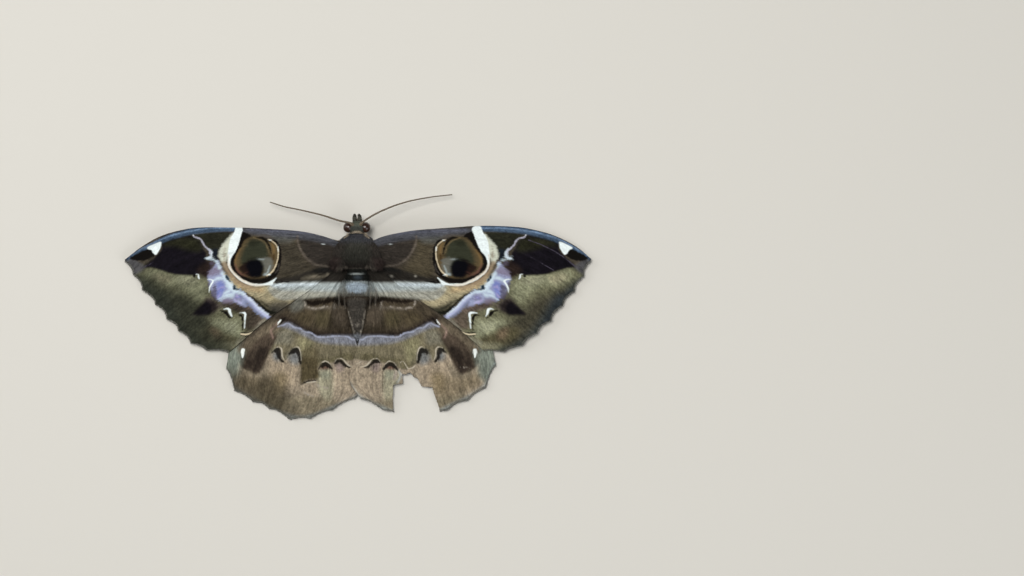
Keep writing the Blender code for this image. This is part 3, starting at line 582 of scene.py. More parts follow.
        area([(29.8, 17.0), (30.9, 15.9), (31.8, 14.9), (32.6, 13.8), (33.1, 12.2), (32.9, 11.1),
            (32.3, 10.2), (31.5, 10.4), (31.0, 11.6), (30.4, 13.4), (29.8, 15.4)]),
    ]),
    mark("ivory", "#a08c70", 0.5, 0.85, 0.2, [
        area([(32.3, 10.4), (31.9, 9.2), (31.0, 7.6), (29.8, 6.3), (28.2, 5.2), (26.6, 4.4), (24.4, 3.9),
            (24.6, 4.6), (26.4, 5.1), (28.2, 6.0), (29.8, 7.2), (31.0, 8.6), (31.6, 10.2)]),
    ]),
    mark("sand", "#8d8270", 0.45, 0.75, 0.3, [
        line([(31.6, 14.3), (31.75, 12.8), (31.8, 11.4), (31.7, 10.0), (31.1, 8.7)],
            [0.0, 0.12, 0.2, 0.16, 0.05]),
    ]),
    mark("chalk", "#e3eceb", 0.17, 0.97, 0.07, [
        area([(26.9, 18.0), (27.4, 18.7), (28.9, 18.7), (29.4, 17.5), (30.2, 16.2), (30.7, 14.9),
            (30.85, 13.8), (31.0, 12.6), (31.05, 11.4), (31.0, 9.7), (30.5, 8.4), (29.6, 7.3), (28.2, 6.25),
            (26.5, 5.4), (24.9, 4.8), (23.3, 4.7), (21.3, 4.85), (19.9, 5.0), (19.6, 5.6), (18.8, 6.7),
            (20.1, 5.95), (21.4, 5.35), (23.3, 5.2), (24.8, 5.3), (26.4, 5.95), (28.1, 6.8), (29.5, 7.7),
            (30.35, 8.9), (30.5, 10.2), (30.0, 11.8), (28.9, 13.0), (28.05, 14.8), (27.25, 17.0)]),
        area([(47.4, 15.0), (48.6, 14.75), (50.6, 13.7), (49.75, 13.15), (49.3, 12.4), (48.7, 12.0),
            (48.2, 12.5), (47.6, 13.6)]),
        line([(36.0, 6.25), (35.1, 6.2), (34.5, 5.8), (34.9, 5.1), (35.35, 4.2), (35.5, 3.2)],
            [0.06, 0.16, 0.24, 0.2, 0.14, 0.06]),
        line([(38.9, 7.4), (38.25, 7.3), (38.2, 6.8), (38.0, 6.4)], [0.06, 0.18, 0.22, 0.1]),
        line([(32.0, -0.8), (31.2, -0.65), (30.7, -0.95), (30.55, -1.6), (30.2, -2.4)],
            [0.08, 0.2, 0.32, 0.28, 0.12]),
        line([(28.1, -1.65), (27.2, -1.55), (26.4, -1.8), (26.4, -2.8), (26.5, -3.9), (26.6, -5.2)],
            [0.06, 0.16, 0.3, 0.22, 0.16, 0.1]),
        line([(18.6, -3.3), (19.0, -3.9), (19.3, -4.3)], [0.08, 0.15, 0.1]),
        spot((7.9, 14.45), (0.22, 0.08)),
        spot((20.3, 15.4), (0.25, 0.1)),
        spot((18.5, 13.4), (0.1, 0.5)),
        spot((20.6, 7.35), (0.3, 0.14)),
        spot((39.5, 16.6), (0.14, 0.14)),
    ]),
    mark("shell", "#d6c8b2", 0.3, 0.8, 0.1, [
        line([(30.85, 12.0), (30.9, 10.6), (30.7, 9.4), (30.1, 8.2), (29.0, 7.2), (27.6, 6.3), (26.2, 5.6),
            (24.8, 5.0), (23.3, 4.85), (21.6, 4.9)], [0.05, 0.12, 0.2, 0.24, 0.24, 0.24, 0.24, 0.22, 0.05]),
    ]),
    mark("ochre", "#8f7a62", 0.35, 0.75, 0.15, [
        line([(31.3, 9.4), (30.8, 8.0), (29.8, 6.7), (28.5, 5.75), (27.0, 5.0), (25.4, 4.45), (23.8, 4.2)],
            [0.04, 0.12, 0.13, 0.13, 0.12, 0.1, 0.05]),
    ]),
]

# Ground colours of the hindwing
HINDWING_TONES = [
    ground("#403a31"),
    tone("#949387", 0.45, 1.0, [area([(-1, 5.6), (15, 5.4), (19.6, 5.1), (21, 4.2), (19.4, 2.0),
        (17.5, 0.6), (14, 1.6), (10, 2.0), (4, 2.4), (-1, 2.4)])]),
    PALE_BAND,
    tone("#25221e", 0.5, 1.0, [area([(-1, 9.0), (10, 8.6), (19, 6.4), (12, 5.7), (-1, 5.8)])]),
    # the brown field inside the lilac line, paler beside the body
    tone("#433b2f", 0.6, 1.0, [area([(-1, 1.2), (6, 1.4), (14, 1), (18, -1.4), (19.6, -4.6), (14, -5.6),
        (10, -6.9), (-1, -7.6)])]),
    tone("#5d5346", 1.0, 0.85, [area([(1.8, 0.4), (5.4, 0.4), (6.2, -1.4), (5.0, -4.2), (1.8, -4.4)])]),
    tone("#66665e", 0.9, 0.8, [area([(12.6, 0.6), (14.6, 1.6), (16.4, 0.4), (16.0, -1.2), (14, -0.9)],
        "left")]),
    tone("#4b4431", 1.1, 0.8, [area([(6.5, -1.6), (9.6, -1.4), (9.8, -4.4), (7, -4.8)])]),
    tone("#4d4432", 1.1, 0.7, [area([(10.6, -1.6), (14, -1.6), (15, -3.6), (12, -4.6), (10.8, -3.6)])]),
    tone("#241d19", 0.9, 1.0, [area([(-1, -6.2), (4, -6.0), (9.6, -5.9), (13, -4.9), (16, -3.2),
        (18.4, -2.2), (19.6, -3.6), (17, -4.2), (14.6, -5.3), (10, -7.3), (0, -7.8)])]),
    # the olive field outside it
    tone("#6b6450", 0.3, 1.0, [area([(-5, -8), (10, -7.4), (14, -5.8), (18, -4.9), (21, -6.2), (24, -9.5),
        (22, -12.6), (18, -13), (10, -15), (-5, -15)])]),
    tone("#7d785c", 1.1, 1.0, [area([(11, -8.4), (13.4, -7.6), (14.8, -8.6), (13.8, -11), (12.8, -12.8),
        (11.6, -12.6), (11.2, -10.4)])]),
    tone("#6f6b5c", 0.9, 1.0, [area([(16, -6.0), (19.4, -6.0), (20.4, -8.6), (18.4, -9.0), (16.4, -8.8)])]),
    tone("#5b5540", 0.8, 1.0, [area([(1, -11.4), (3.4, -11.2), (6.2, -12.2), (9.8, -12.4), (12.6, -13.8),
        (10.8, -14.6), (9.8, -13.2), (6, -13.2), (3, -12.6), (1, -13.6)])]),
    tone("#75777f", 0.7, 1.0, [area([(-5, -7.4), (5, -7.0), (9.8, -7.2), (12.4, -6.2), (15, -5.0),
        (17, -4.0), (18.9, -4.8), (17, -5.2), (13, -7.0), (10, -8.2), (6, -8.9), (-5, -9.2)])]),
    # the outer field, slate grey along its edge
    tone("#8e8270", 0.3, 1.0, [area([(-5, -13.8), (3, -13.0), (5.6, -13.4), (8, -13.6), (11, -15),
        (14.2, -13.2), (15, -10.4), (18, -13), (19, -10.6), (22, -12), (24.6, -15.6), (27.6, -14.6),
        (33, -8), (40, -14), (30, -30), (-6, -30)])]),
    tone("#968874", 1.4, 1.0, [area([(15, -13.6), (18, -13.6), (20.4, -12.2), (22.2, -14.6), (20.4, -18),
        (16, -19), (14.6, -16)])]),
    tone("#948774", 1.2, 1.0, [area([(-1.6, -14.6), (3, -14.6), (5.4, -14.6), (5.4, -20), (2, -20.4),
        (-1.6, -18)])]),
    tone("#948f79", 0.8, 1.0, [area([(6.2, -15.4), (9.4, -15.4), (9.6, -18), (8.2, -22), (6.2, -22)])]),
    tone("#766a55", 1.6, 0.85, [area([(18.5, -15.6), (22.5, -16.4), (26.6, -15.8), (29.0, -16.4),
        (28.4, -19), (24, -21), (19.6, -23.6), (19.0, -19.6)])]),
    tone("#7b6d52", 1.2, 0.7, [area([(17.0, -16.6), (19.6, -16.2), (20.2, -19.4), (18.4, -21)])]),
    tone("#747a6f", 1.1, 1.0, [area([(27.4, -9), (33, -10), (33.4, -14.6), (30.8, -18), (28.6, -16.2),
        (28.0, -13)])]),
    tone("#6f6754", 1.1, 0.8, [area([(12, -21), (20, -21.6), (25, -20.6), (24, -24), (16, -27), (8, -25.6),
        (4, -23)])]),
    tone("#727d80", 0.8, 0.75, [line([(-1.9, -18.4), (0.4, -21.3), (5.9, -24.0), (11.1, -26.0),
        (16.0, -26.2), (21, -24.0), (26.0, -21.6), (30.2, -18.6), (32.6, -13.6)], [0.25, 0.35, 0.4, 0.4])]),
    # painted shade: the left wing is darker from its middle to its outer edge, as if less light fell on that
    # side
    tone("#3f392c", 2.2, 0.8, [area([(19.6, -17.4), (22, -16.4), (25, -17.2), (29, -15.5), (34, -16),
        (27, -25), (18, -28), (17, -24), (16.4, -20.6), (17.8, -18.8)], "left")]),
    # the brown stripe and the shade in front of it
    tone("#615748", 1.0, 1.0, [area([(18.8, -3.6), (21.8, -4.2), (25.4, -6.9), (28.6, -9.6), (27.6, -11),
        (21.4, -8.6), (19.6, -7.0)])]),
    tone("#6f6656", 1.1, 0.8, [area([(21.4, -14.6), (22.8, -16.4), (25.4, -16.8), (27.6, -15.6),
        (26, -15.4), (23.2, -15.2), (22.2, -13.6)])]),
    tone("#483e34", 0.45, 1.0, [area([(20.2, -6.6), (21.4, -6.5), (22.8, -7.0), (24.6, -8.4), (26.1, -10.2),
        (26.8, -12.0), (27.3, -14.0), (27.5, -14.7), (26.4, -14.9), (25.8, -15.3), (25.2, -15.8),
        (23.9, -15.8), (22.6, -13.9), (21.4, -11.0), (20.3, -9.0), (19.7, -7.6)])]),
    tone("#28211c", 0.8, 0.95, [area([(21.9, -9.6), (24.4, -9.8), (26.1, -11.4), (26.9, -13.2),
        (27.2, -14.4), (26.2, -14.7), (25.4, -15.4), (24.2, -15.5), (22.9, -13.4), (21.8, -11.0)])]),
    tone("#50463b", 0.7, 0.6, [line([(23.6, -9.0), (25.0, -11.0), (25.6, -12.6)], [0.1, 0.3, 0.1]),
        line([(24.6, -13.0), (25.4, -14.4)], [0.05, 0.1])]),
    tone("#8d766b", 0.35, 0.85, [line([(18.9, -3.6), (20.2, -5.0), (20.9, -5.9), (20.4, -7.5)],
        [0.08, 0.12, 0.18, 0.16])]),
    # the olive tongue that only the whole left wing still shows
    tone("#554d39", 1.1, 0.85, [area([(9.4, -10.2), (12.6, -9.6), (13.9, -11.0), (13.8, -14.6),
        (9.6, -14.6)], "left")]),
    tone("#4b4330", 0.6, 1.0, [area([(9.8, -12.6), (13.8, -12.0), (14.0, -14.2), (14.2, -18.3),
        (12.6, -17.7), (11.0, -17.4), (9.6, -17.3), (8.9, -16.4), (9.5, -14.4)], "left")]),
    # slate shades inside the scallops
    tone("#6d7172", 0.9, 0.85, [area([(14.4, -11.0), (15.2, -10.2), (16.2, -10.8), (17.0, -12.2),
        (16.4, -13.4), (15.0, -13.8), (14.3, -12.8)]), area([(18.7, -11.6), (19.3, -10.4), (20.0, -10.6),
        (20.6, -11.8), (20.0, -12.8), (18.9, -12.8)])]),
    tone("#7a6c68", 0.8, 0.8, [area([(3.2, -14.2), (4.2, -13.2), (5.0, -13.2), (5.3, -14.2), (4.8, -15.4),
        (3.8, -15.4)])]),
    tone("#5e4238", 0.5, 0.85, [area([(6.8, -14.2), (7.6, -13.9), (8.6, -14.3), (8.4, -15.0),
        (7.0, -14.9)])]),
    tone("#7f8170", 0.8, 0.7, [area([(6.6, -15.4), (8.6, -15.4), (8.4, -17.0), (6.8, -17.0)])]),
    # torn scales beside the hole
    tone("#a99a92", 0.5, 0.7, [line([(8.9, -15.4), (8.9, -16.2), (8.6, -17.2)], [0.2, 0.35, 0.2],
        "right")]),
    tone("#a3aaa8", 0.4, 0.7, [line([(9.6, -15.2), (10.1, -16.2), (9.9, -17.0), (9.3, -18.0)],
        [0.1, 0.25, 0.2, 0.15], "right")]),
    tone("#6c6458", 0.5, 0.7, [line([(2.3, -0.6), (5.4, -0.4), (8.2, -0.5), (10.4, -0.7), (12.6, -0.4)],
        [0.15, 0.2, 0.2, 0.2, 0.15])]),
]

# Markings of the hindwing
HINDWING_MARKS = [
    mark("sepia", "#150f0a", 0.35, 0.95, 0.2, [
        line([(1.2, 0.7), (3.0, 0.8), (4.4, 1.1), (6.2, 1.6), (7.8, 1.3), (9.6, 1.1), (11.4, 1.1),
            (12.9, 1.1)], [0.5, 0.7, 0.8, 0.56, 0.48, 0.46, 0.42, 0.2], "right"),
        line([(2.4, 0.4), (3.6, 0.7), (4.6, 1.1), (5.6, 1.4), (7.6, 1.0), (9.6, 0.7), (11.4, 0.7),
            (12.5, 1.2)], [0.45, 0.75, 0.8, 0.56, 0.52, 0.54, 0.54, 0.26], "left"),
    ]),
    mark("soot", "#15120f", 0.24, 0.95, 0.14, [
        area([(1.5, -14.4), (2.6, -13.9), (3.3, -13.1), (4.1, -12.6), (4.9, -12.7), (5.5, -13.6),
            (4.8, -13.5), (4.0, -13.4), (3.2, -14.1), (2.2, -14.6)]),
        area([(5.9, -15.0), (6.3, -13.9), (7.4, -13.2), (8.7, -13.6), (9.6, -15.3), (8.6, -14.7),
            (7.6, -14.2), (6.8, -14.7)]),
        area([(14.0, -13.4), (14.1, -11.2), (14.6, -10.0), (15.3, -9.8), (16.3, -10.2), (17.0, -11.6),
            (16.0, -11.2), (15.3, -11.2), (14.9, -12.0), (14.5, -13.3)]),
        area([(17.8, -13.2), (18.5, -12.2), (18.6, -10.9), (19.0, -9.8), (19.9, -9.9), (20.9, -11.1),
            (20.0, -11.0), (19.6, -11.5), (19.2, -12.4), (18.4, -13.3)]),
        line([(17.6, -2.9), (18.3, -3.7), (18.8, -4.5)], [0.14, 0.24, 0.16]),
        line([(14.2, -18.6), (12.6, -17.9), (11.0, -17.6), (9.6, -17.6)], [0.08, 0.16, 0.14, 0.1], "left"),
    ]),
    mark("crease", "#4b4338", 0.14, 0.6, 0.14, [
        line([(5.85, -14.6), (5.9, -18.0), (5.8, -22.4)], [0.0, 0.03, 0.0]),
        line([(15.1, -3.9), (13.4, -4.8)], [0.0, 0.0]),
    ]),
    mark("cream", "#c2b9a6", 0.17, 0.95, 0.1, [
        line([(0.7, -14.3), (1.9, -14.1), (2.7, -13.4), (3.4, -12.6), (4.1, -12.35), (4.9, -12.5),
            (5.4, -13.3)], [0.03, 0.1, 0.11, 0.05, 0.03, 0.0, -0.05]),
        line([(6.0, -14.6), (6.4, -13.8), (7.4, -13.0), (8.4, -13.3), (9.2, -14.2)],
            [-0.1, 0.0, 0.08, 0.04, -0.05]),
        line([(10.0, -13.4), (10.6, -13.0), (11.3, -13.8), (11.9, -14.7), (13.0, -14.5), (13.6, -13.9)],
            [0.02, 0.08, 0.08, 0.08, 0.08, 0.02], "right"),
        line([(13.95, -12.8), (14.05, -11.2), (14.5, -9.95), (15.2, -9.6), (15.9, -9.95)],
            [0.0, 0.06, 0.13, 0.09, -0.04]),
        line([(17.9, -12.8), (18.3, -11.7), (18.4, -10.3), (19.0, -9.65), (20.0, -9.85)],
            [0.04, 0.1, 0.13, 0.1, 0.0]),
        line([(-0.2, -13.6), (0.4, -13.4), (0.9, -13.0)], [0.02, 0.05, 0.02]),
        line([(12.6, -18.15), (11.0, -17.9), (9.7, -17.8)], [0.04, 0.08, 0.04], "left"),
    ]),
    # pale streaks of hair, worn places made pale with a painted highlight, and a painted glint
    mark("bone_and_glints", "#a0978a", 0.3, 0.85, 0.3, [
        line([(5.6, 0.9), (5.55, 0.1), (5.4, -0.7)], [0.05, 0.18, 0.05], "right"),
        line([(7.6, -0.1), (8.4, -0.3)], [0.1, 0.18], "right"),
        line([(9.4, -0.4), (10.4, -0.5)], [0.12, 0.12], "right"),
        line([(11.4, -0.5), (12.4, -0.4)], [0.08, 0.12], "right"),
        line([(13.5, 1.0), (13.4, 0.2), (12.9, -0.4)], [0.05, 0.18, 0.08], "right"),
        line([(5.5, 0.5), (5.4, -0.2), (5.2, -0.8)], [0.05, 0.2, 0.06], "left"),
        line([(7.0, -0.1), (8.6, -0.4), (10.4, -0.6), (12.0, -0.3)], [0.05, 0.1, 0.12, 0.08], "left"),
        line([(12.9, 0.8), (12.8, 0.1)], [0.08, 0.12], "left"),
        line([(3.2, 4.4), (3.0, 1.2), (2.8, -0.6)], [0.02, 0.05, 0.02]),
        line([(4.4, 4.0), (4.3, 1.6), (4.2, 0.2)], [0.02, 0.06, 0.02]),
        # worn places on the left wing where scales are lost, made pale with a painted highlight
        line([(7.2, -19.4), (8.6, -19.0), (9.9, -18.5)], [0.05, 0.16, 0.1], "left"),
        line([(10.7, -21.2), (12.0, -20.8), (13.3, -20.3)], [0.05, 0.14, 0.06], "left"),
        # a painted glint
        spot((25.2, -14.5), (0.18, 0.06), "right"),
    ]),
    mark("lilac", "#a4a9bc", 0.25, 0.9, 0.14, [
        line([(-4.0, -7.5), (-2.3, -7.3), (-1.1, -8.25), (0, -7.9), (1.3, -7.9), (2.3, -7.25), (5.0, -7.1),
            (7.4, -7.3), (9.6, -7.25), (11.1, -6.4), (13.0, -6.05), (14.2, -5.3), (15.6, -5.05),
            (16.95, -4.1), (18.1, -4.5), (19.2, -4.9)],
            [0.1, 0.13, 0.12, 0.1, 0.1, 0.13, 0.13, 0.14, 0.12, 0.12, 0.13, 0.13, 0.1]),
    ]),
    mark("chalk", "#e6ebe6", 0.15, 1.0, 0.14, [
        area([(27.15, -10.2), (27.8, -10.1), (28.0, -10.9), (27.85, -11.8), (27.5, -12.2), (27.35, -11.4)]),
        line([(18.6, -3.3), (19.0, -3.9), (19.3, -4.3)], [0.08, 0.15, 0.1]),
    ]),
]

# Colours of the coat on the body, as seen from above
BODY_TONES = [
    ground("#3d3833"),
    tone("#46474b", 0.9, 1.0, [area([(-6, 17.2), (6, 17.2), (5, 15.2), (0, 14.6), (-5, 15.2)])]),
    tone("#41413a", 1.2, 0.8, [area([(-2.4, 14.4), (2.4, 14.4), (2.8, 10.6), (-2.8, 10.6)])]),
    tone("#3b302d", 0.9, 0.8, both(area([(-6, 11), (-4.2, 11), (-4.6, 8.6), (-6, 8.6)]))),
    tone("#4a4c46", 0.4, 1.0, [area([(-1.6, 22), (1.6, 22), (1.5, 17.5), (-1.5, 17.5)])]),
    tone("#62665a", 0.5, 1.0, [area([(-1.2, 23), (1.2, 23), (1.1, 19.2), (-1.1, 19.2)])]),
    tone("#d0c0a6", 0.22, 0.95, [line([(-2.9, 15.9), (-1.9, 16.6), (-1.0, 17.1), (0.0, 17.3), (1.0, 17.1),
        (1.9, 16.6), (2.9, 15.9)], [0.1, 0.16, 0.18, 0.18, 0.16, 0.1])]),
    tone("#6c655b", 0.3, 0.85, [line([(-4.6, 9.0), (-3.0, 9.1), (0, 8.75), (2.9, 9.2), (4.4, 9.0)],
        [0.1, 0.2, 0.2, 0.1])]),
    tone("#171815", 0.35, 1.0, [area([(-3.0, 8.4), (3.1, 8.4), (3.1, 5.5), (-2.9, 5.5)])]),
    tone("#7f786c", 0.25, 0.75, [line([(-3.4, 8.6), (-3.2, 5.8)], [0.12, 0.1]), line([(3.4, 8.8),
        (3.2, 5.8)], [0.12, 0.1])]),
    tone("#b9c1be", 0.2, 0.95, [spot((0.0, 7.5), (1.15, 0.17))]),
    tone("#414a51", 0.5, 0.9, [spot((0.3, 6.7), (0.8, 0.45))]),
    # the pale band crosses the abdomen, with a bluish patch in its middle
    tone("#9ba3a2", 0.3, 1.0, [area([(-6, 5.45), (6, 5.45), (6, 3.0), (-6, 3.0)])]),
    tone("#94948a", 0.7, 1.0, [area([(-6, 3.9), (6, 3.9), (6, 1.7), (-6, 1.7)])]),
    tone("#afbdc8", 0.35, 1.0, [area([(-2.2, 5.2), (2.1, 5.2), (1.9, 3.3), (-1.9, 3.3)])]),
    tone("#55514a", 0.2, 0.8, [line([(-1.9, 2.9), (1.4, 2.9)], [0.16, 0.16])]),
    tone("#413a30", 0.5, 1.0, [area([(-6, 1.5), (6, 1.5), (6, -7.6), (-6, -7.6)])]),
    tone("#211a14", 0.4, 0.9, both(line([(-5.0, 1.2), (-3.4, 0.8), (-1.5, 0.7)], [0.4, 0.5, 0.3]))),
    tone("#56514a", 0.5, 1.0, [area([(-1.9, 1.4), (1.9, 1.4), (1.7, -1.4), (0.8, -7.0), (-0.8, -7.0),
        (-1.8, -1.4)])]),
    tone("#aaa193", 0.2, 0.85, [line([(-2.0, -1.3), (-1.1, -4.5), (-0.7, -6.4)], [0.16, 0.1]),
        line([(1.8, -1.3), (1.2, -4.8), (0.6, -7.0)], [0.16, 0.1])]),
    tone("#9a9286", 0.3, 1.0, [spot((0.0, -4.4), (0.35, 0.4))]),
    tone("#8b8f97", 0.5, 1.0, [area([(-3, -6.9), (3, -6.9), (3, -9.0), (-3, -9.0)])]),
]

# Undersides, in shares of the way from the root to the edge and from the front to the back
UNDERSIDE = [
    ground("#4d4337"),
    tone("#5f5546", 0.06, 1.0, [area([(0.0, -0.2), (0.45, -0.2), (0.42, 1.2), (0.0, 1.2)])]),
    tone("#8b8271", 0.012, 0.8, [line([(0.52, -0.05), (0.5, 0.2), (0.54, 0.45), (0.52, 0.7), (0.5, 1.05)],
        [0.018, 0.012, 0.018])]),
    tone("#2f2922", 0.015, 0.8, [line([(0.70, -0.05), (0.68, 0.25), (0.71, 0.5), (0.69, 0.75),
        (0.70, 1.05)], [0.02, 0.016])]),
    tone("#9a9384", 0.012, 0.9, [spot((0.82, 0.0625 + 0.125 * k), (0.012, 0.02)) for k in range(8)]),
    tone("#6a6152", 0.05, 0.8, [area([(0.9, -0.2), (1.2, -0.2), (1.2, 1.2), (0.9, 1.2)])]),
]


# Curves, colours and directions

def curve_through(points, t, even=False):
    """Points at t, from 0 to 1, on the smooth curve through the given points.

    t goes by distance along the chords, or by equal steps from one given point to the next if even is set.
    """
    given = np.array(points, float)
    reach = np.linalg.norm(np.diff(given, axis=0), axis=1)
    knots = np.concatenate([[0.0], np.cumsum(np.ones_like(reach) if even else reach)])
    knots /= knots[-1]
    slopes = np.gradient(given, knots, axis=0)
    t = np.clip(np.asarray(t, float), 0.0, 1.0)
    i = np.clip(np.searchsorted(knots, t, side="right") - 1, 0, len(given) - 2)
    step = (knots[i + 1] - knots[i])[..., None]
    w = (t[..., None] - knots[i][..., None]) / step
    return (
        given[i] * (1 + 2 * w) * (1 - w) ** 2
        + slopes[i] * step * w * (1 - w) ** 2
        + given[i + 1] * w * w * (3 - 2 * w)
        + slopes[i + 1] * step * w * w * (w - 1)
    )


def smooth(t):
    t = np.clip(t, 0.0, 1.0)
    return t * t * (3.0 - 2.0 * t)


def linear_colour(code):
    """A colour written as #rrggbb, as three linear values."""
    values = np.array([int(code[k:k + 2], 16) for k in (1, 3, 5)]) / 255.0
    return np.where(values <= 0.04045, values / 12.92, ((values + 0.055) / 1.055) ** 2.4)


def jittered(colours, amount):
    """Colours that differ a little from one scale to the next."""
    return np.clip(colours * (1.0 + amount * rng.standard_normal((len(colours), 1))), 0.0, 1.0)


def unit(vectors):
    return vectors / np.maximum(np.linalg.norm(vectors, axis=-1, keepdims=True), 1e-9)


def along_surface(directions, normals):
    """Directions turned into the surface."""
    return unit(directions - normals * np.sum(directions * normals, axis=1)[:, None])


def sideways_of(ahead):
    """Level unit vectors square to the directions, or along X where a direction is steep."""
    sideways = np.cross(ahead, [0.0, 0.0, 1.0])
    sideways[np.linalg.norm(sideways, axis=1) < 0.05] = (1.0, 0.0, 0.0)
    return unit(sideways)


# Distances from the shapes of the pattern

def drawn_line(shape):
    """The shape's outline or line as short chords."""
    places = np.array(shape["places"], float)
    if shape["kind"] == "area":
        places = np.vstack([places, places[:1]])
        padded = np.vstack([places[-2], places, places[1]])
    else:
        padded = np.vstack([2 * places[0] - places[1], places, 2 * places[-1] - places[-2]])
    t = (np.arange(6) / 6.0)[:, None]
    chords = []
    for a, b, c, d in zip(padded, padded[1:], padded[2:], padded[3:]):
        chords.append(0.5 * (2 * b + (c - a) * t + (2 * a - 5 * b + 4 * c - d) * t ** 2
                             + (3 * b - a - 3 * c + d) * t ** 3))
    return np.vstack(chords + [places[-1:]])


def distance_to_line(points, chords):
    """Distance of each point from the line, and where along the line it is nearest, from 0 to 1."""
    nearest = np.full(len(points), 1e9)
    along = np.zeros(len(points))
    count = len(chords) - 1
    for k in range(count):
        start, run = chords[k], chords[k + 1] - chords[k]
        t = np.clip((points - start) @ run / (run @ run + 1e-12), 0.0, 1.0)
        distance = np.linalg.norm(points - start - t[:, None] * run, axis=1)
        closer = distance < nearest
        nearest[closer] = distance[closer]
        along[closer] = (k + t[closer]) / count
    return nearest, along


def is_inside(points, outline):
    x, y = points.T
    inside = np.zeros(len(points), bool)
    for (x0, y0), (x1, y1) in zip(outline, np.roll(outline, -1, axis=0)):
        if y0 != y1:
            inside ^= ((y0 > y) != (y1 > y)) & (x < (x1 - x0) * (y - y0) / (y1 - y0) + x0)
    return inside


def shape_distance(shape, points):
    """Distance of each point outside the shape in mm, negative inside it."""
    if shape["kind"] == "spot":
        across, along = shape["halves"]
        offset = (points - np.array(shape["places"][0])) / (across, along)
        return np.clip((np.linalg.norm(offset, axis=1) - 1.0) * min(across, along), -FAR, FAR)
    distance = np.full(len(points), FAR)
    chords = drawn_line(shape)
    near = np.all((points > chords.min(axis=0) - FAR) & (points < chords.max(axis=0) + FAR), axis=1)
    close, along = distance_to_line(points[near], chords)
    if shape["kind"] == "area":
        close = np.where(is_inside(points[near], chords[:-1]), -close, close)
    else:
        close -= np.interp(along, np.linspace(0.0, 1.0, len(shape["widths"])), shape["widths"])
    distance[near] = np.clip(close, -FAR, FAR)
    return distance


def distance_to_shapes(shapes, points, side):
    """The least of the distances from the shapes that are on this side of the moth."""
    distance = np.full(len(points), FAR)
    for shape in shapes:
        if shape["side"] in (None, side):
            distance = np.minimum(distance, shape_distance(shape, points))
    return distance


def painted(layers, points, side=None, under=None):
    """The colours after the layers of soft tones, or of marks, are laid over those under them."""
    colours = np.zeros((len(points), 3)) if under is None else under
    for layer in layers:
        distance = distance_to_shapes(layer["shapes"], points, side)
        cover = smooth(0.5 - distance / (2 * layer["edge"])) * layer["strength"]
        colours = colours + (linear_colour(layer["colour"]) - colours) * cover[:, None]
    return colours


# Meshes and their attributes

def opened(mesh):
    """The mesh as a form to be shaped further."""
    form = bmesh.new()
    form.from_mesh(mesh)
    return form


def closed(form, mesh):
    """The mesh, which takes over the shaped form."""
    form.to_mesh(mesh)
    form.free()
    return mesh


def coordinates(mesh):
    flat = np.empty(len(mesh.vertices) * 3)
    mesh.vertices.foreach_get("co", flat)
    return flat.reshape(-1, 3)


def move_vertices(mesh, places):
    mesh.vertices.foreach_set("co", np.ascontiguousarray(places, dtype=np.float32).ravel())
    mesh.update()


def give_values(mesh, name, values):
    layer = mesh.attributes.new(name, "FLOAT", "POINT")
    layer.data.foreach_set("value", values.astype(np.float32))


def give_vectors(mesh, name, vectors):
    layer = mesh.attributes.new(name, "FLOAT_VECTOR", "POINT")
    layer.data.foreach_set("vector", vectors.astype(np.float32).ravel())


def give_colours(mesh, name, colours):
    layer = mesh.attributes.new(name, "FLOAT_COLOR", "POINT")
    opaque_colours = np.column_stack([colours, np.ones(len(colours))])
    layer.data.foreach_set("color", opaque_colours.astype(np.float32).ravel())


def placed(name, data):
    """An object in the scene, at the origin."""
    made = bpy.data.objects.new(name, data)
    bpy.context.scene.collection.objects.link(made)
    return made


def mesh_object(name, mesh, look, replaced=()):
    """A finished piece of the moth, with its material and its places in the frame."""
    made = placed(name, mesh)
    mesh.materials.append(look)
    mesh.shade_smooth()
    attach(made, "root")
    if replaced:
        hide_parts(*replaced)
    return made


def grid_mesh(name, columns, rows):
    """A flat sheet, and the place of each vertex across and along it from 0 to 1."""
    sheet = bmesh.new()
    bmesh.ops.create_grid(sheet, x_segments=columns, y_segments=rows, size=0.5)
    mesh = closed(sheet, bpy.data.meshes.new(name))
    flat = coordinates(mesh)
    return mesh, flat[:, 0] + 0.5, flat[:, 1] + 0.5


def rolled_mesh(name, columns, rows, place):
    """A closed skin: a sheet rolled round a line, where place gives mm from the turn and the way along."""
    mesh, turn, along = grid_mesh(name, columns, rows)
    move_vertices(mesh, place(turn * 2.0 * math.pi, along) * MM)
    give_values(mesh, "along", along)
    rolled = opened(mesh)
    bmesh.ops.remove_doubles(rolled, verts=rolled.verts, dist=0.002 * MM)
    bmesh.ops.recalc_face_normals(rolled, faces=rolled.faces)
    return closed(rolled, mesh)


def tube_mesh(name, path, radius, columns, rows):
    """A tube along a line in mm, whose radius at each place along it closes its ends at zero."""
    along_rows = np.linspace(0.0, 1.0, rows + 1)
    spine = curve_through(path, along_rows)
    ahead = unit(np.gradient(spine, axis=0))
    sideways = sideways_of(ahead)
    up = np.cross(sideways, ahead)

    def place(turn, along):
        row = np.round(along * rows).astype(int)
        reach = radius(along_rows)[row][:, None]
        outward = np.cos(turn)[:, None] * sideways[row] + np.sin(turn)[:, None] * up[row]
        return spine[row] + reach * outward

    return rolled_mesh(name, columns, rows, place)


# Wings

def outer_edge(wing, v):
    """The toothed outer edge: a tooth where each vein ends, and a shallow bay between two teeth."""
    cells = len(wing["teeth"]) - 1
    edge = curve_through(wing["teeth"], v, even=True)
    root = (np.array(wing["front"][0]) + np.array(wing["back"][0])) / 2
    inwards = root - edge
    inwards /= np.linalg.norm(inwards, axis=-1, keepdims=True)
    bay = np.abs(np.sin(math.pi * v * cells)) ** 0.8
    return edge + inwards * (wing["scallop"] * bay)[..., None]


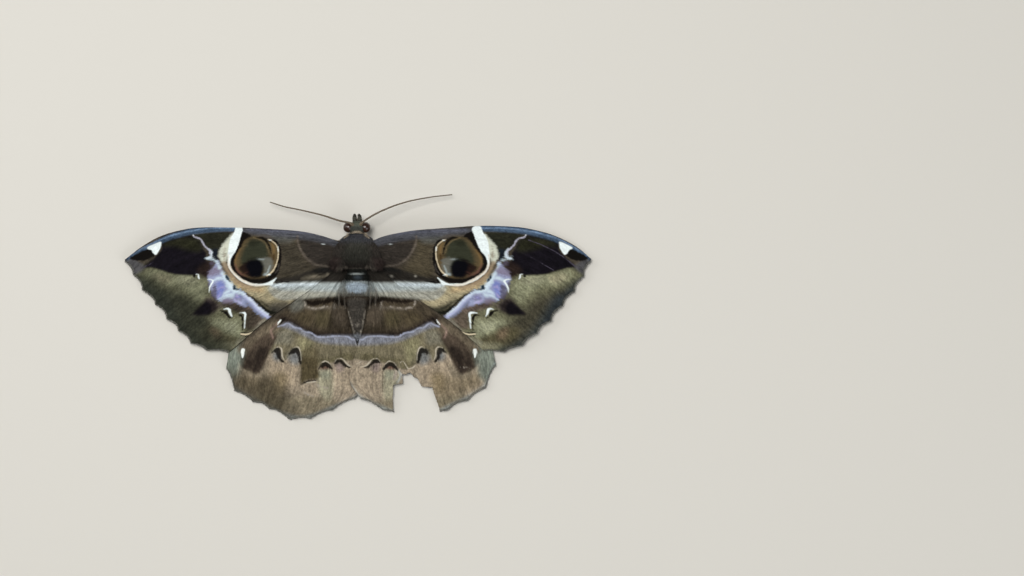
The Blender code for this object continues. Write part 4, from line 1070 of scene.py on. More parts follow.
def wing_plan(wing, u, v):
    """Place as seen from above: u goes from the root to the outer edge, v from the front edge backwards."""
    front = curve_through(wing["front"], u)
    back = curve_through(wing["back"], u)
    first, last = np.array(wing["front"][0]), np.array(wing["back"][0])
    apex, corner = np.array(wing["front"][-1]), np.array(wing["back"][-1])
    root = first + (last - first) * v[..., None]
    edge = outer_edge(wing, v)
    u, v = u[..., None], v[..., None]
    sides = (1 - v) * front + v * back + (1 - u) * root + u * edge
    corners = (1 - u) * ((1 - v) * first + v * last) + u * ((1 - v) * apex + v * corner)
    return sides - corners


def wing_level(wing, u, v):
    """Height of the middle of the membrane, which falls from the root to the outer edge."""
    root = np.interp(v, (0.0, 1.0), wing["root_height"])
    edge = np.interp(v, (0.35, 1.0), wing["edge_height"])
    settle = np.interp(u, np.linspace(0.0, 1.0, len(wing["settle"])), wing["settle"])
    settled = settle * smooth((v - 0.6) / 0.4) * smooth(u * 8.0)
    return edge + (root - edge) * (1.0 - u) ** wing["droop"] - settled


def overlap_lift(x, y):
    """Raises the right hindwing near the midline, where it lies over the left one."""
    return OVERLAP_LIFT * smooth(-y / OVERLAP_REACH) * smooth(1.0 - (x - 1.5) / OVERLAP_REACH)


def vein_distance(wing, u, v):
    """Distance in mm from the nearest vein, as far as this one reaches towards the root."""
    cells = len(wing["teeth"]) - 1
    front, back = wing_plan(wing, u, np.zeros_like(v)), wing_plan(wing, u, np.ones_like(v))
    width = np.linalg.norm(front - back, axis=-1)
    nearest = np.round(v * cells)
    distance = np.abs(v * cells - nearest) / cells * width
    reaches = np.isin(nearest, wing["stems"]) | (u >= wing["cell_end"])
    edge_of_cell = (v * cells > wing["stems"][0]) & (v * cells < wing["stems"][1])
    cross = np.where(edge_of_cell, np.abs(u - wing["cell_end"]) * 0.75 * width, NO_VEIN)
    return np.minimum(np.where(reaches, distance, NO_VEIN), cross)


def wing_surface(wing, u, v):
    """Places of the wing's middle surface, with its veins raised and the cells sagging between them."""
    cells = len(wing["teeth"]) - 1
    plan = wing_plan(wing, u, v)
    sag = CELL_SAG * np.sin(math.pi * v * cells) ** 2 * u * smooth((1.0 - v) * 5.0)
    level = wing_level(wing, u, v) - sag
    if wing["over"]:
        level = level + overlap_lift(plan[:, 0], plan[:, 1])
    ridge = VEIN_RISE * np.exp(-((vein_distance(wing, u, v) / VEIN_SPREAD) ** 2))
    return np.column_stack([plan, level + ridge * smooth((1.0 - u) * 12.0)])


def wing_frames(wing, u, v):
    """Places on a wing, and the unit vectors there towards the outer edge and up from the surface."""
    step = 0.004
    here = wing_surface(wing, u, v)
    ahead = wing_surface(wing, np.clip(u + step, 0, 1), v) - wing_surface(wing, u - step, v)
    beside = wing_surface(wing, u, v + step) - wing_surface(wing, u, v - step)
    up = unit(np.cross(beside, ahead))
    up *= np.sign(up[:, 2:])
    return [vectors * (SIDES[wing["side"]], 1, 1) for vectors in (here, unit(ahead), up)]


def pattern_place(wing, plan):
    """Place in the pattern for places on a wing, whose pattern may lie a little nearer the body."""
    stations, shifts = np.array(wing.get("shift", [(0.0, 0.0)])).T
    return plan + np.column_stack([np.interp(plan[:, 0], stations, shifts), np.zeros(len(plan))])


def pattern_colours(wing, places):
    """Colours of a wing's pattern under places in mm."""
    plan = pattern_place(wing, places[:, :2] * (SIDES[wing["side"]], 1))
    return painted(wing["marks"], plan, wing["side"], painted(wing["tones"], plan, wing["side"]))


def cut_tear(mesh):
    """Opens the hole in a hindwing and draws its ragged rim onto the outline."""
    outline = np.array(TEAR)
    torn = opened(mesh)
    middles = np.array([face.calc_center_median()[:2] for face in torn.faces]) / MM
    doomed = [face for face, out in zip(torn.faces, is_inside(middles, outline)) if out]
    bmesh.ops.delete(torn, geom=doomed, context="FACES")
    for vert in torn.verts:
        if not vert.is_boundary:
            continue
        place = np.array(vert.co[:2]) / MM
        best, gap = None, RIM_REACH
        for start, end in zip(outline, np.roll(outline, -1, axis=0)):
            run = end - start
            foot = start + np.clip((place - start) @ run / (run @ run), 0.0, 1.0) * run
            if np.linalg.norm(place - foot) < gap:
                best, gap = foot, np.linalg.norm(place - foot)
        if best is not None:
            vert.co.x, vert.co.y = (best + rng.uniform(-RAG, RAG, 2)) * MM
    closed(torn, mesh)


def wing_mesh(name, wing):
    """The middle sheet of a wing, which carries its pattern, its grain and its veins as attributes."""
    mesh, v, u = grid_mesh(name, SHEET_COLUMNS, SHEET_ROWS)
    side = SIDES[wing["side"]]
    surface = wing_surface(wing, u, v)
    plan = pattern_place(wing, surface[:, :2])
    give_colours(mesh, "ground", painted(wing["tones"], plan, wing["side"]))
    give_colours(mesh, "underneath", painted(UNDERSIDE, np.column_stack([u, v])))
    for layer in wing["marks"]:
        give_values(mesh, layer["name"], distance_to_shapes(layer["shapes"], plan, wing["side"]))
    reach = np.linalg.norm(surface[:, :2] - surface[np.argmin(u + v), :2], axis=1)
    give_vectors(mesh, "grain", np.column_stack([v * 34.0, reach, np.full(len(v), 9.0 * side)]))
    give_values(mesh, "vein", np.clip(vein_distance(wing, u, v), 0.0, 2.0))
    move_vertices(mesh, surface * (side, 1, 1) * MM)
    if side < 0:
        flipped = opened(mesh)
        bmesh.ops.reverse_faces(flipped, faces=flipped.faces)
        closed(flipped, mesh)
    if wing["torn"]:
        cut_tear(mesh)
    return mesh


def wing_skin(name, wing, looks):
    """A wing of one thickness, with its upper and its lower look."""
    upper, lower = looks
    made = mesh_object(name + "_scaled", wing_mesh(name, wing), upper, [name])
    made.data.materials.append(lower)
    shell = made.modifiers.new("membrane", "SOLIDIFY")
    shell.thickness = MEMBRANE * MM
    shell.offset = 0.0
    shell.material_offset = 1


# Scales and hairs

def blade_template():
    """A three-sided blade of unit length along Z, with one ring between its root and its tip."""
    blade = bmesh.new()
    bmesh.ops.create_cone(blade, segments=3, radius1=1.0, radius2=0.0, depth=1.0, cap_ends=True)
    bmesh.ops.translate(blade, verts=blade.verts, vec=(0.0, 0.0, 0.5))
    whole = blade.verts[:] + blade.edges[:] + blade.faces[:]
    bmesh.ops.bisect_plane(blade, geom=whole, dist=0.0001, plane_co=(0, 0, 0.5), plane_no=(0, 0, 1))
    return closed(blade, bpy.data.meshes.new("blade"))


def blade_row(name, count):
    """One mesh of many blades, all still in the template's place."""
    template = placed(name + "_blade", blade_template())
    row = template.modifiers.new("row", "ARRAY")
    row.use_relative_offset = False
    row.count = count
    graph = bpy.context.evaluated_depsgraph_get()
    mesh = bpy.data.meshes.new_from_object(template.evaluated_get(graph))
    bpy.data.objects.remove(template)
    mesh.name = name
    return mesh


def blades(name, roots, lie, up, length, width, lift, colours, unwrap, look, finish):
    """Many scales or hairs: each starts at its root, follows its lie and bends up by its lift.

    Roots, length and width are in mm, colours are those at the roots, and unwrap is the root's place on the
    unwrapped skin, where each blade has a small patch of its own.
    """
    count = len(roots)
    mesh = blade_row(name, count)
    local = coordinates(mesh).reshape(count, -1, 3)
    x, y, t = local[..., 0], local[..., 1], local[..., 2]
    at_root, at_middle, at_tip = BLADE_FULLNESS
    full = np.where(t < 0.25, at_root, np.where(t < 0.75, at_middle, at_tip))
    across = np.cross(lie, up)
    length, width, lift = (np.broadcast_to(value, count)[:, None] for value in (length, width, lift))
    rise = lift * length * (t - 0.35 * t * t) + 0.35 * y * full * width
    places = (
        roots[:, None, :]
        + across[:, None, :] * (x * full * width)[..., None]
        + lie[:, None, :] * (t * length)[..., None]
        + up[:, None, :] * rise[..., None]
    )
    move_vertices(mesh, places.reshape(-1, 3) * MM)
    shade = (BLADE_ROOT_SHADE + BLADE_TIP_GAIN * t)[..., None]
    give_colours(mesh, "coat", np.clip(colours[:, None, :] * shade, 0.0, 1.0).reshape(-1, 3))
    patch = unwrap[:, None, :] + BLADE_PATCH * np.stack([x, 2.0 * t - 1.0], axis=-1)
    loops = np.empty(len(mesh.loops), int)
    mesh.loops.foreach_get("vertex_index", loops)
    layer = mesh.uv_layers.new(name="OFBake")
    layer.data.foreach_set("uv", patch.reshape(-1, 2)[loops].astype(np.float32).ravel())
    mesh_object(name, mesh, look)


def fringe(name, wing, look):
    """The fine fringe of scales along the outer edge."""
    v = np.sort(rng.uniform(0.004, 0.996, FRINGE_COUNT))
    roots, ahead, up = wing_frames(wing, np.full(FRINGE_COUNT, 0.996), v)
    keep = ~is_inside(roots[:, :2], np.array(TEAR)) if wing["torn"] else np.ones(FRINGE_COUNT, bool)
    colours = jittered(0.5 * pattern_colours(wing, roots) + 0.5 * linear_colour(FRINGE_GREY), 0.22)
    lie = unit(ahead + 0.22 * rng.standard_normal(FRINGE_COUNT)[:, None] * np.cross(up, ahead))
    length = rng.uniform(*FRINGE_LENGTHS, FRINGE_COUNT)
    unwrap = np.column_stack([v, rng.uniform(0.9, 0.99, FRINGE_COUNT)])
    roots, lie, up, length, colours, unwrap = (
        values[keep] for values in (roots, lie, up, length, colours, unwrap))
    blades(name, roots, lie, up, length, FRINGE_WIDTH, 0.05, colours, unwrap, look, "wing")


def wing_hair(name, wing, hair, look):
    """Long soft hair near the wing's root and along its back edge, lying towards the outer edge."""
    count = hair["count"]
    (u_low, u_high), (v_low, v_high) = hair["outward"], hair["backward"]
    u = u_low + (u_high - u_low) * rng.random(count) ** 0.8
    v = v_high - (v_high - v_low) * rng.random(count) ** 1.6
    u = np.clip(u, 0.006, 0.99)
    v = np.clip(v, 0.006, 0.99)
    roots, ahead, up = wing_frames(wing, u, v)
    lie = along_surface(ahead + 0.10 * rng.standard_normal((count, 3)), up)
    length = rng.uniform(*hair["lengths"], count)
    colours = jittered(pattern_colours(wing, roots + lie * length[:, None] * 0.6), 0.14)
    blades(name, roots + up * 0.08, lie, up, length, WING_HAIR_WIDTH, 0.07, colours, np.column_stack([v, u]),
           look, "wing")


# Body

def egg_depth(form, x, y, z):
    (cx, cy, cz), (hx, hy, hz), turn = form
    dx, dy = x - cx, y - cy
    across = math.cos(turn) * dx + math.sin(turn) * dy
    along = -math.sin(turn) * dx + math.cos(turn) * dy
    reach = np.sqrt((across / hx) ** 2 + (along / hy) ** 2 + ((z - cz) / hz) ** 2)
    return (reach - 1.0) * min(hx, hy, hz)


def abdomen_depth(x, y, z):
    radii, stations = np.array(ABDOMEN_PROFILE).T
    radius = np.interp(y, stations[::-1], radii[::-1])
    ring = (stations[0] - y) / (stations[0] - stations[-1]) * SEGMENTS
    radius = radius * (1.0 - SEGMENT_STEP * (ring % 1.0))
    middle = np.interp(y, stations[[-1, 0]], ABDOMEN_HEIGHTS)
    return np.sqrt(x ** 2 + ((z - middle) / ABDOMEN_FLATNESS) ** 2) - radius


def body_field(x, y, z):
    """Roughly the depth in mm under the skin of the whole body, with the forms flowing into one another."""
    forms = [egg_depth(form, x, y, z) for form in BODY_EGGS] + [abdomen_depth(x, y, z)]
    joined = -BODY_BLEND * np.log(sum(np.exp(-form / BODY_BLEND) for form in forms))
    return joined + np.interp(y, *COAT_DEPTHS)


def axis_height(y):
    """Height of the line that runs through the middle of the body."""
    stations, heights = np.array(BODY_AXIS).T
    return np.interp(y, stations, heights)


def body_place(turn, along):
    """Place on the skin: turn goes round from the back, along goes from the tail to the face."""
    tail, face = BODY_ENDS
    y = tail + (face - tail) * (0.5 - 0.5 * np.cos(math.pi * (0.06 + 0.88 * along)) - 0.0088) / 0.9824
    y = np.where(along <= 0.0, tail, np.where(along >= 1.0, face, y))
    axis = axis_height(y)
    near, far = np.zeros_like(y), np.full_like(y, 9.0)
    for _ in range(26):
        middle = (near + far) / 2
        inside = body_field(np.sin(turn) * middle, y, axis + np.cos(turn) * middle) < 0.0
        near, far = np.where(inside, middle, near), np.where(inside, far, middle)
    reach = np.where((along <= 0.0) | (along >= 1.0), 0.0, near)
    return np.column_stack([np.sin(turn) * reach, y, axis + np.cos(turn) * reach])


def with_belly(colours, places):
    """The coat's colours, with the plain brown of the underside."""
    depth = np.interp(places[:, 1], *BELLY_LEVELS) - places[:, 2]
    return colours + (linear_colour(BELLY_COLOUR) - colours) * smooth(depth / BELLY_FADE)[:, None]


def body_skin(look):
    mesh = rolled_mesh("body_skin", SKIN_COLUMNS, SKIN_ROWS, body_place)
    places = coordinates(mesh) / MM
    give_colours(mesh, "coat", with_belly(painted(BODY_TONES, places[:, :2]), places) * SKIN_SHADE)
    return mesh_object("body_skin", mesh, look, ["thorax", "abdomen", "head"])


def surface_points(mesh, count, weight):
    """Random places on a mesh, spread by area times weight, with their normals, in mm."""
    mesh.calc_loop_triangles()
    corners = np.empty(len(mesh.loop_triangles) * 3, int)
    mesh.loop_triangles.foreach_get("vertices", corners)
    tri = (coordinates(mesh) / MM)[corners.reshape(-1, 3)]
    normals = np.cross(tri[:, 1] - tri[:, 0], tri[:, 2] - tri[:, 0])
    size = np.linalg.norm(normals, axis=1)
    chance = size * weight(tri.mean(axis=1), unit(normals))
    chosen = rng.choice(len(tri), count, p=chance / chance.sum())
    a, b = rng.random(count), rng.random(count)
    flip = a + b > 1.0
    a, b = np.where(flip, 1 - a, a)[:, None], np.where(flip, 1 - b, b)[:, None]
    corner = tri[chosen]
    points = corner[:, 0] + a * (corner[:, 1] - corner[:, 0]) + b * (corner[:, 2] - corner[:, 0])
    return points, unit(normals[chosen])


def body_unwrap(points):
    """Place of a root on the unrolled skin of the body."""
    turn = np.arctan2(points[:, 0], points[:, 2] - axis_height(points[:, 1]))
    along = (points[:, 1] - BODY_ENDS[0]) / (BODY_ENDS[1] - BODY_ENDS[0])
    return np.column_stack([0.5 + turn / (2 * math.pi) * 0.98, 0.01 + 0.98 * along])


def clear_of_eyes(points):
    eyes = [np.array((side * EYE_PLACE[0], *EYE_PLACE[1:])) for side in SIDES.values()]
    return np.minimum(*(np.linalg.norm(points - place, axis=1) for place in eyes)) > EYE_RADIUS + 0.02


def denser_on_top(middles, normals):
    """How densely the coat grows: most on the head, least under the body."""
    return (0.45 + 0.55 * (normals[:, 2] > -0.2)) * np.where(middles[:, 1] > HEAD_START, 3.4, 1.0)


def body_coat(skin, look):
    """Flat scales over the whole body, and longer hair on the thorax and along the abdomen."""
    points, normals = surface_points(skin.data, COAT_COUNT, denser_on_top)
    keep = clear_of_eyes(points)
    points, normals = points[keep], normals[keep]
    x, y, z = points.T
    count = len(points)
    flank = (np.abs(x) > FLANK_OUT) & (np.abs(y - FLANK) < FLANK_REACH) & (z > FLANK_FLOOR)
    low = flank & (z < FLANK_TOP)
    neck = np.exp(-((y - NECK) / NECK_WIDTH) ** 2) * (z > 5.0)
    crest = np.hypot(*((points[:, :2] - CREST) / CREST_SIZE).T) < 1.0

    # The scales point to the tail, over the back slopes and away from the flanks, and forwards on the face
    back = np.column_stack([0.16 * x / 4.0, -np.ones(count), -0.08 * np.ones(count)])
    back[:, 2] += 1.2 * np.clip(normals[:, 1], 0.0, 1.0)
    back[:, 0] += (0.7 * flank + 0.4 * low) * np.sign(x)
    face = y + 0.3 * rng.standard_normal(count) > FACE_LINE
    back[face] = np.column_stack([0.3 * x[face], 0.9 * np.ones(face.sum()), 0.4 * np.ones(face.sum())])
    back += 0.16 * rng.standard_normal((count, 3))
    lie = along_surface(back, normals)

    length = np.interp(y, *COAT_LENGTHS)
    length = length * rng.uniform(0.75, 1.25, count) * np.where(crest, 0.5, 1.0 + 0.35 * flank + 0.3 * low)
    lift = COAT_LIFT + 0.7 * np.clip(-normals[:, 1] - 0.1, 0.0, 1.0) + 1.3 * neck + 0.5 * flank
    middles = points + lie * length[:, None] * 0.6
    colours = with_belly(jittered(painted(BODY_TONES, middles[:, :2]), 0.2), points)
    blades("body_coat", points - normals * COAT_SINK, lie, normals, length, COAT_WIDTH, lift, colours,
           body_unwrap(points), look, "fur")


# Head, feelers, mouthparts and legs

def eye(name, side, look):
    ball = bmesh.new()
    bmesh.ops.create_icosphere(ball, subdivisions=5, radius=EYE_RADIUS * MM)
    x, y, z = EYE_PLACE
    bmesh.ops.translate(ball, verts=ball.verts, vec=Vector((side * x, y, z)) * MM)
    mesh_object(name + "_facets", closed(ball, bpy.data.meshes.new(name)), look, [name])


def closed_ends(t, share=0.06):
    """Rounds a tube's ends off to nothing over a share of its length."""
    edge = np.minimum(t, 1.0 - t) / share
    return np.sqrt(np.clip(1.0 - (1.0 - np.clip(edge, 0.0, 1.0)) ** 2, 0.0, 1.0))


def rings(t, count):
    """Rises from 0 to 1 and back in each of the rings along a tube."""
    return 0.5 + 0.5 * np.cos(2.0 * math.pi * t * count)


def feeler_radius(t):
    """A thick first joint, then rings that grow finer towards the tip."""
    ringed = np.interp(t, *FEELER_PROFILE) * (1.0 - FEELER_GROOVE * rings(t, FEELER_RINGS) ** 2)
    return ringed * closed_ends(t, 0.008)


def palp_radius(t):
    return np.interp(t, *PALP_PROFILE) * closed_ends(t)


def tongue_radius(t):
    """Thinner towards the tip, with fine ridges."""
    ridges = 1.0 - 0.08 * rings(t, TONGUE_RIDGES)
    return TONGUE_THICKNESS * (1.0 - 0.45 * t) * ridges * closed_ends(t, 0.01)


def thigh_radius(t):
    return np.interp(t, *THIGH_PROFILE) * closed_ends(t)


def shin_radius(t):
    return np.interp(t, *SHIN_PROFILE) * closed_ends(t)


def foot_radius(t):
    """Five joints, each widest just before it meets the next."""
    joint = (t * 5.0) % 1.0
    swell = 0.8 + 0.2 * smooth(joint * 1.3) - 0.25 * smooth((joint - 0.86) * 7.0)
    return (0.235 - 0.05 * t) * swell * closed_ends(t, 0.03)


def spike_radius(t):
    return SPIKE_RADIUS * (1.0 - t) ** 0.8 * closed_ends(t, 0.05)


def feeler(name, path, look):
    mesh = tube_mesh(name, path, feeler_radius, columns=10, rows=FEELER_RINGS * 4)
    mesh_object(name + "_rings", mesh, look, [name])


def limb_cell(number):
    """The corner of a limb's own cell on the unwrap, which has four cells a side."""
    return np.array([number % 4, number // 4]) / 4.0 + 0.01


def limb_scales(path, radius, cell, count, longest, taper, lift, colour):
    """Roots and lie of the scales on a tube, from its start to its end."""
    turn = rng.uniform(0.0, 2.0 * math.pi, count)
    along = rng.uniform(0.02, 0.93, count)
    spine = curve_through(path, along)
    step = 0.01
    ahead = unit(curve_through(path, np.minimum(along + step, 1.0)) - curve_through(path, along - step))
    sideways = sideways_of(ahead)
    out = np.cos(turn)[:, None] * sideways + np.sin(turn)[:, None] * np.cross(sideways, ahead)
    return {
        "roots": spine + out * (radius(along) * 0.9)[:, None],
        "lie": along_surface(ahead + 0.12 * rng.standard_normal((count, 3)), out),
        "up": out,
        "colours": jittered(np.tile(linear_colour(colour), (count, 1)), 0.25),
        "length": (longest - taper * along) * rng.uniform(0.7, 1.3, count),
        "lift": np.full(count, lift),
        "unwrap": limb_cell(cell) + 0.23 * np.column_stack([turn / (2.0 * math.pi), along]),
    }


def scales_piece(name, parts, width, look, finish):
    """One coat piece from the scales of several limbs, kept above the floor."""
    packed = {key: np.concatenate([part[key] for part in parts]) for key in parts[0]}
    tips = packed["roots"] + packed["lie"] * packed["length"][:, None]
    keep = tips[:, 2] > LEAST_HEIGHT
    packed = {key: values[keep] for key, values in packed.items()}
    blades(name, width=width, look=look, finish=finish, **packed)


def palps(skin, coat):
    parts = []
    for number, (name, side) in enumerate(SIDES.items()):
        path = [(side * x, y, z) for x, y, z in PALP_PATH]
        mesh = tube_mesh("palp_" + name, path, palp_radius, columns=14, rows=40)
        give_colours(mesh, "coat", np.tile(linear_colour("#4b4943") * SKIN_SHADE, (len(mesh.vertices), 1)))
        mesh_object("palp_skin_" + name, mesh, skin, ["palp_" + name])
        parts.append(limb_scales(path, palp_radius, number, **PALP_SCALES))
    scales_piece("palp_scales", parts, PALP_WIDTH, coat, "fur")


def tongue(look):
    turns = np.linspace(0.0, 1.0, 24)
    angle = TONGUE_START + 2.0 * math.pi * TONGUE_TURNS * turns
    reach = np.interp(turns, (0.0, 1.0), TONGUE_RADII)
    x, y, z = TONGUE_CENTRE
    coil = [TONGUE_ROOT] + [(x, y + r * math.cos(a), z + r * math.sin(a)) for a, r in zip(angle, reach)]
    mesh = tube_mesh("tongue_coil", coil, tongue_radius, columns=10, rows=TONGUE_RIDGES * 4)
    mesh_object("tongue_coil", mesh, look, ["tongue"])


def joined_mesh(name, meshes):
    """Several closed meshes as one."""
    whole = bmesh.new()
    for mesh in meshes:
        whole.from_mesh(mesh)
        bpy.data.meshes.remove(mesh)
    return closed(whole, bpy.data.meshes.new(name))


def spikes(start, ahead, length):
    """A pair of spurs or claws that spread from one place and hook down a little."""
    pair = []
    for spread in (-SPIKE_SPREAD, SPIKE_SPREAD):
        turned = np.array([ahead[0] * math.cos(spread) - ahead[1] * math.sin(spread),
                           ahead[0] * math.sin(spread) + ahead[1] * math.cos(spread), 0.0])
        path = [start, start + turned * length * 0.55 + (0, 0, 0.05), start + turned * length - (0, 0, 0.02)]
        pair.append(tube_mesh("spike", path, spike_radius, columns=6, rows=10))
    return pair


def leg(kind, name, side, look):
    """One leg with its claws and spurs. Gives the paths of its thigh, shin and foot."""
    body, knee, low, ankle, toe = [np.array((side * x, y, z)) for x, y, z in LEGS[kind]]
    bow = np.array([0.0, 0.0, LEG_BOW])
    thigh = [body, (body + knee) / 2 + bow, knee]
    shin = [knee, (knee + low) / 2 + bow, low, ankle]
    foot = [ankle, (ankle + toe) / 2, toe]
    ahead = unit((toe - ankle)[None])[0]
    pieces = [
        tube_mesh("thigh", thigh, thigh_radius, columns=16, rows=30),
        tube_mesh("shin", shin, shin_radius, columns=14, rows=34),
        tube_mesh("foot", foot, foot_radius, columns=12, rows=60),
    ]
    pieces += spikes(toe - ahead * 0.1, ahead, CLAW_LENGTH)
    pieces += spikes(low, ahead, SPUR_LENGTH) if kind != "foreleg" else []
    pieces += spikes((knee + low) / 2, ahead, UPPER_SPUR_LENGTH) if kind == "hindleg" else []
    node = f"{kind}_{name}"
    mesh_object(node + "_joints", joined_mesh(node, pieces), look, [node])
    return thigh, shin, foot


def legs(look, coat):
    parts = []
    for name, side in SIDES.items():
        for kind in LEGS:
            thigh, shin, foot = leg(kind, name, side, look)
            cell = len(parts) // 3 * 2
            parts.append(limb_scales(thigh, thigh_radius, cell, **THIGH_SCALES))
            parts.append(limb_scales(shin, shin_radius, cell + 1, **SHIN_SCALES))
            parts.append(limb_scales(foot, foot_radius, cell + 1, **FOOT_SCALES))
    scales_piece("leg_scales", parts, LEG_SCALE_WIDTH, coat, "horn")


# Materials

def feed(tree, node, inputs):
    """Sets inputs of a node, given by name or number, to values or joins them to other nodes."""
    for key, value in inputs.items():
        if isinstance(value, bpy.types.NodeSocket):
            tree.links.new(value, node.inputs[key])
        else:
            node.inputs[key].default_value = value


def add_node(tree, kind, inputs=None, **settings):
    made = tree.nodes.new(kind)
    for name, value in settings.items():
        setattr(made, name, value)
    feed(tree, made, inputs or {})
    return made


def attribute(tree, name, output):
    return add_node(tree, "ShaderNodeAttribute", attribute_name=name).outputs[output]


def own_place(tree):
    return add_node(tree, "ShaderNodeTexCoord").outputs["Object"]


def math_node(tree, operation, *values):
    return add_node(tree, "ShaderNodeMath", dict(enumerate(values)), operation=operation).outputs[0]


def mix_colours(tree, factor, first, second):
    return add_node(tree, "ShaderNodeMix", {0: factor, 6: first, 7: second}, data_type="RGBA").outputs[2]


def brightened(tree, colour, light):
    inputs = {0: colour, "Scale": light}
    return add_node(tree, "ShaderNodeVectorMath", inputs, operation="SCALE").outputs[0]


def smooth_step(tree, value, low, high):
    """Rises smoothly from 0 where the value is low to 1 where it is high."""
    inputs = {"Value": value, "From Min": low, "From Max": high}
    return add_node(tree, "ShaderNodeMapRange", inputs, interpolation_type="SMOOTHSTEP").outputs[0]


def noise(tree, vector, scale, **settings):
    inputs = {"Vector": vector, "Scale": scale} | settings
    return add_node(tree, "ShaderNodeTexNoise", inputs).outputs[0]


def opaque(code):
    return (*linear_colour(code), 1.0)


def new_group(name, inputs, outputs):
    group = bpy.data.node_groups.new(name, "ShaderNodeTree")
    for direction, sockets in (("INPUT", inputs), ("OUTPUT", outputs)):
        for label, kind in sockets.items():
            group.interface.new_socket(name=label, in_out=direction, socket_type="NodeSocket" + kind)
    return group, add_node(group, "NodeGroupInput").outputs, add_node(group, "NodeGroupOutput")


def marking_group():
    """Lays one marking over what is under it, by the distance from its edge, feathered by the scale rows."""
    numbers = dict.fromkeys(("Distance", "Rows", "Feather", "Softness", "Strength"), "Float")
    inputs = {"Under": "Color", "Paint": "Color"} | numbers
    group, given, out = new_group("marking", inputs, {"Colour": "Color"})
    ragged = math_node(group, "MULTIPLY_ADD", given["Rows"], given["Feather"], given["Distance"])
    inner = math_node(group, "MULTIPLY", given["Softness"], -1.0)
    cover = smooth_step(group, ragged, given["Softness"], inner)
    share = math_node(group, "MULTIPLY", cover, given["Strength"])
    feed(group, out, {"Colour": mix_colours(group, share, given["Under"], given["Paint"])})
    return group


def scale_rows_group():
    """Streaks along the veins, a fine dusting of single scales and broader blotches, all around zero."""
    kinds = {
        "Streaks": ((1.0, 0.11, 1.0), 1.7, 3.0),
        "Dust": ((1.0, 0.7, 1.0), 2.6, 4.0),
        "Mottle": ((0.7, 0.4, 1.0), 0.9, 4.0),
    }
    group, given, out = new_group("scale_rows", {"Grain": "Vector"}, dict.fromkeys(kinds, "Float"))
    for label, (stretch, scale, detail) in kinds.items():
        wide = add_node(group, "ShaderNodeVectorMath", {0: given["Grain"], 1: stretch}, operation="MULTIPLY")
        grains = noise(group, wide.outputs[0], scale, Detail=detail, Roughness=0.6)
        feed(group, out, {label: math_node(group, "SUBTRACT", grains, 0.5)})
    return group


def scale_rows(tree, rows_group):
    """The outputs of the scale rows, placed in a wing's material."""
    return add_node(tree, "ShaderNodeGroup", {"Grain": attribute(tree, "grain", "Vector")},
                    node_tree=rows_group).outputs


def new_material(name):
    look = bpy.data.materials.new(name)
    look.use_nodes = True
    return look, look.node_tree


def finish_surface(tree, colour, height, strength, depth, **finish):
    """Gives the material its colour, its roughness and the like, and bumps of a depth in mm."""
    bump = add_node(tree, "ShaderNodeBump", {"Height": height, "Strength": strength, "Distance": depth * MM})
    named = {name.replace("_", " "): value for name, value in finish.items()}
    feed(tree, tree.nodes["Principled BSDF"], {"Base Color": colour, "Normal": bump.outputs[0]} | named)


def shaded(tree, colour, streaks, dust, streak_strength, dust_strength):
    """Colour made lighter and darker by the streaks and the dust."""
    light = math_node(tree, "MULTIPLY_ADD", streaks, streak_strength, 1.0)
    return brightened(tree, colour, math_node(tree, "MULTIPLY_ADD", dust, dust_strength, light))


def wing_look(name, marks, rows_group, marks_group):
    """Ground colours, darker veins and then the markings one over another."""
    look, tree = new_material(name)
    rows = scale_rows(tree, rows_group)
    streaks, dust, mottle = rows["Streaks"], rows["Dust"], rows["Mottle"]
    ragged = math_node(tree, "MULTIPLY_ADD", mottle, 0.6, math_node(tree, "ADD", streaks, dust))
    colour = shaded(tree, attribute(tree, "ground", "Color"), streaks, dust, 0.6, 1.4)
    veins = smooth_step(tree, attribute(tree, "vein", "Fac"), 0.22, 0.04)
    colour = shaded(tree, colour, mottle, veins, 1.5, -0.16)
    for layer in marks:
        inputs = {
            "Under": colour,
            "Paint": opaque(layer["colour"]),
            "Distance": attribute(tree, layer["name"], "Fac"),
            "Rows": ragged,
            "Feather": layer["feather"] * 4.0,
            "Softness": layer["edge"],
            "Strength": layer["strength"],
        }
        colour = add_node(tree, "ShaderNodeGroup", inputs, node_tree=marks_group).outputs["Colour"]
    colour = shaded(tree, colour, streaks, dust, 0.35, 0.6)
    height = math_node(tree, "MULTIPLY_ADD", dust, 0.6, streaks)
    finish_surface(tree, colour, height, strength=0.5, depth=0.12, Roughness=0.85, Specular_IOR_Level=0.06)
    return look


def underside_look(name, rows_group):
    look, tree = new_material(name)
    rows = scale_rows(tree, rows_group)
    streaks, dust = rows["Streaks"], rows["Dust"]
    colour = shaded(tree, attribute(tree, "underneath", "Color"), streaks, dust, 0.8, 1.0)
    height = math_node(tree, "MULTIPLY_ADD", dust, 0.6, streaks)
    finish_surface(tree, colour, height, strength=0.5, depth=0.12, Roughness=0.75, Specular_IOR_Level=0.25)
    return look


def coat_look(name, roughness):
    """Scales and hairs: each keeps the colour of its root, made lighter and darker by fine noise."""
    look, tree = new_material(name)
    grains = noise(tree, own_place(tree), 2600.0)
    light = math_node(tree, "MULTIPLY_ADD", grains, 0.7, 0.65)
    colour = brightened(tree, attribute(tree, "coat", "Color"), light)
    finish_surface(tree, colour, grains, strength=0.4, depth=0.05, Roughness=roughness,
                   Specular_IOR_Level=0.1)
    return look


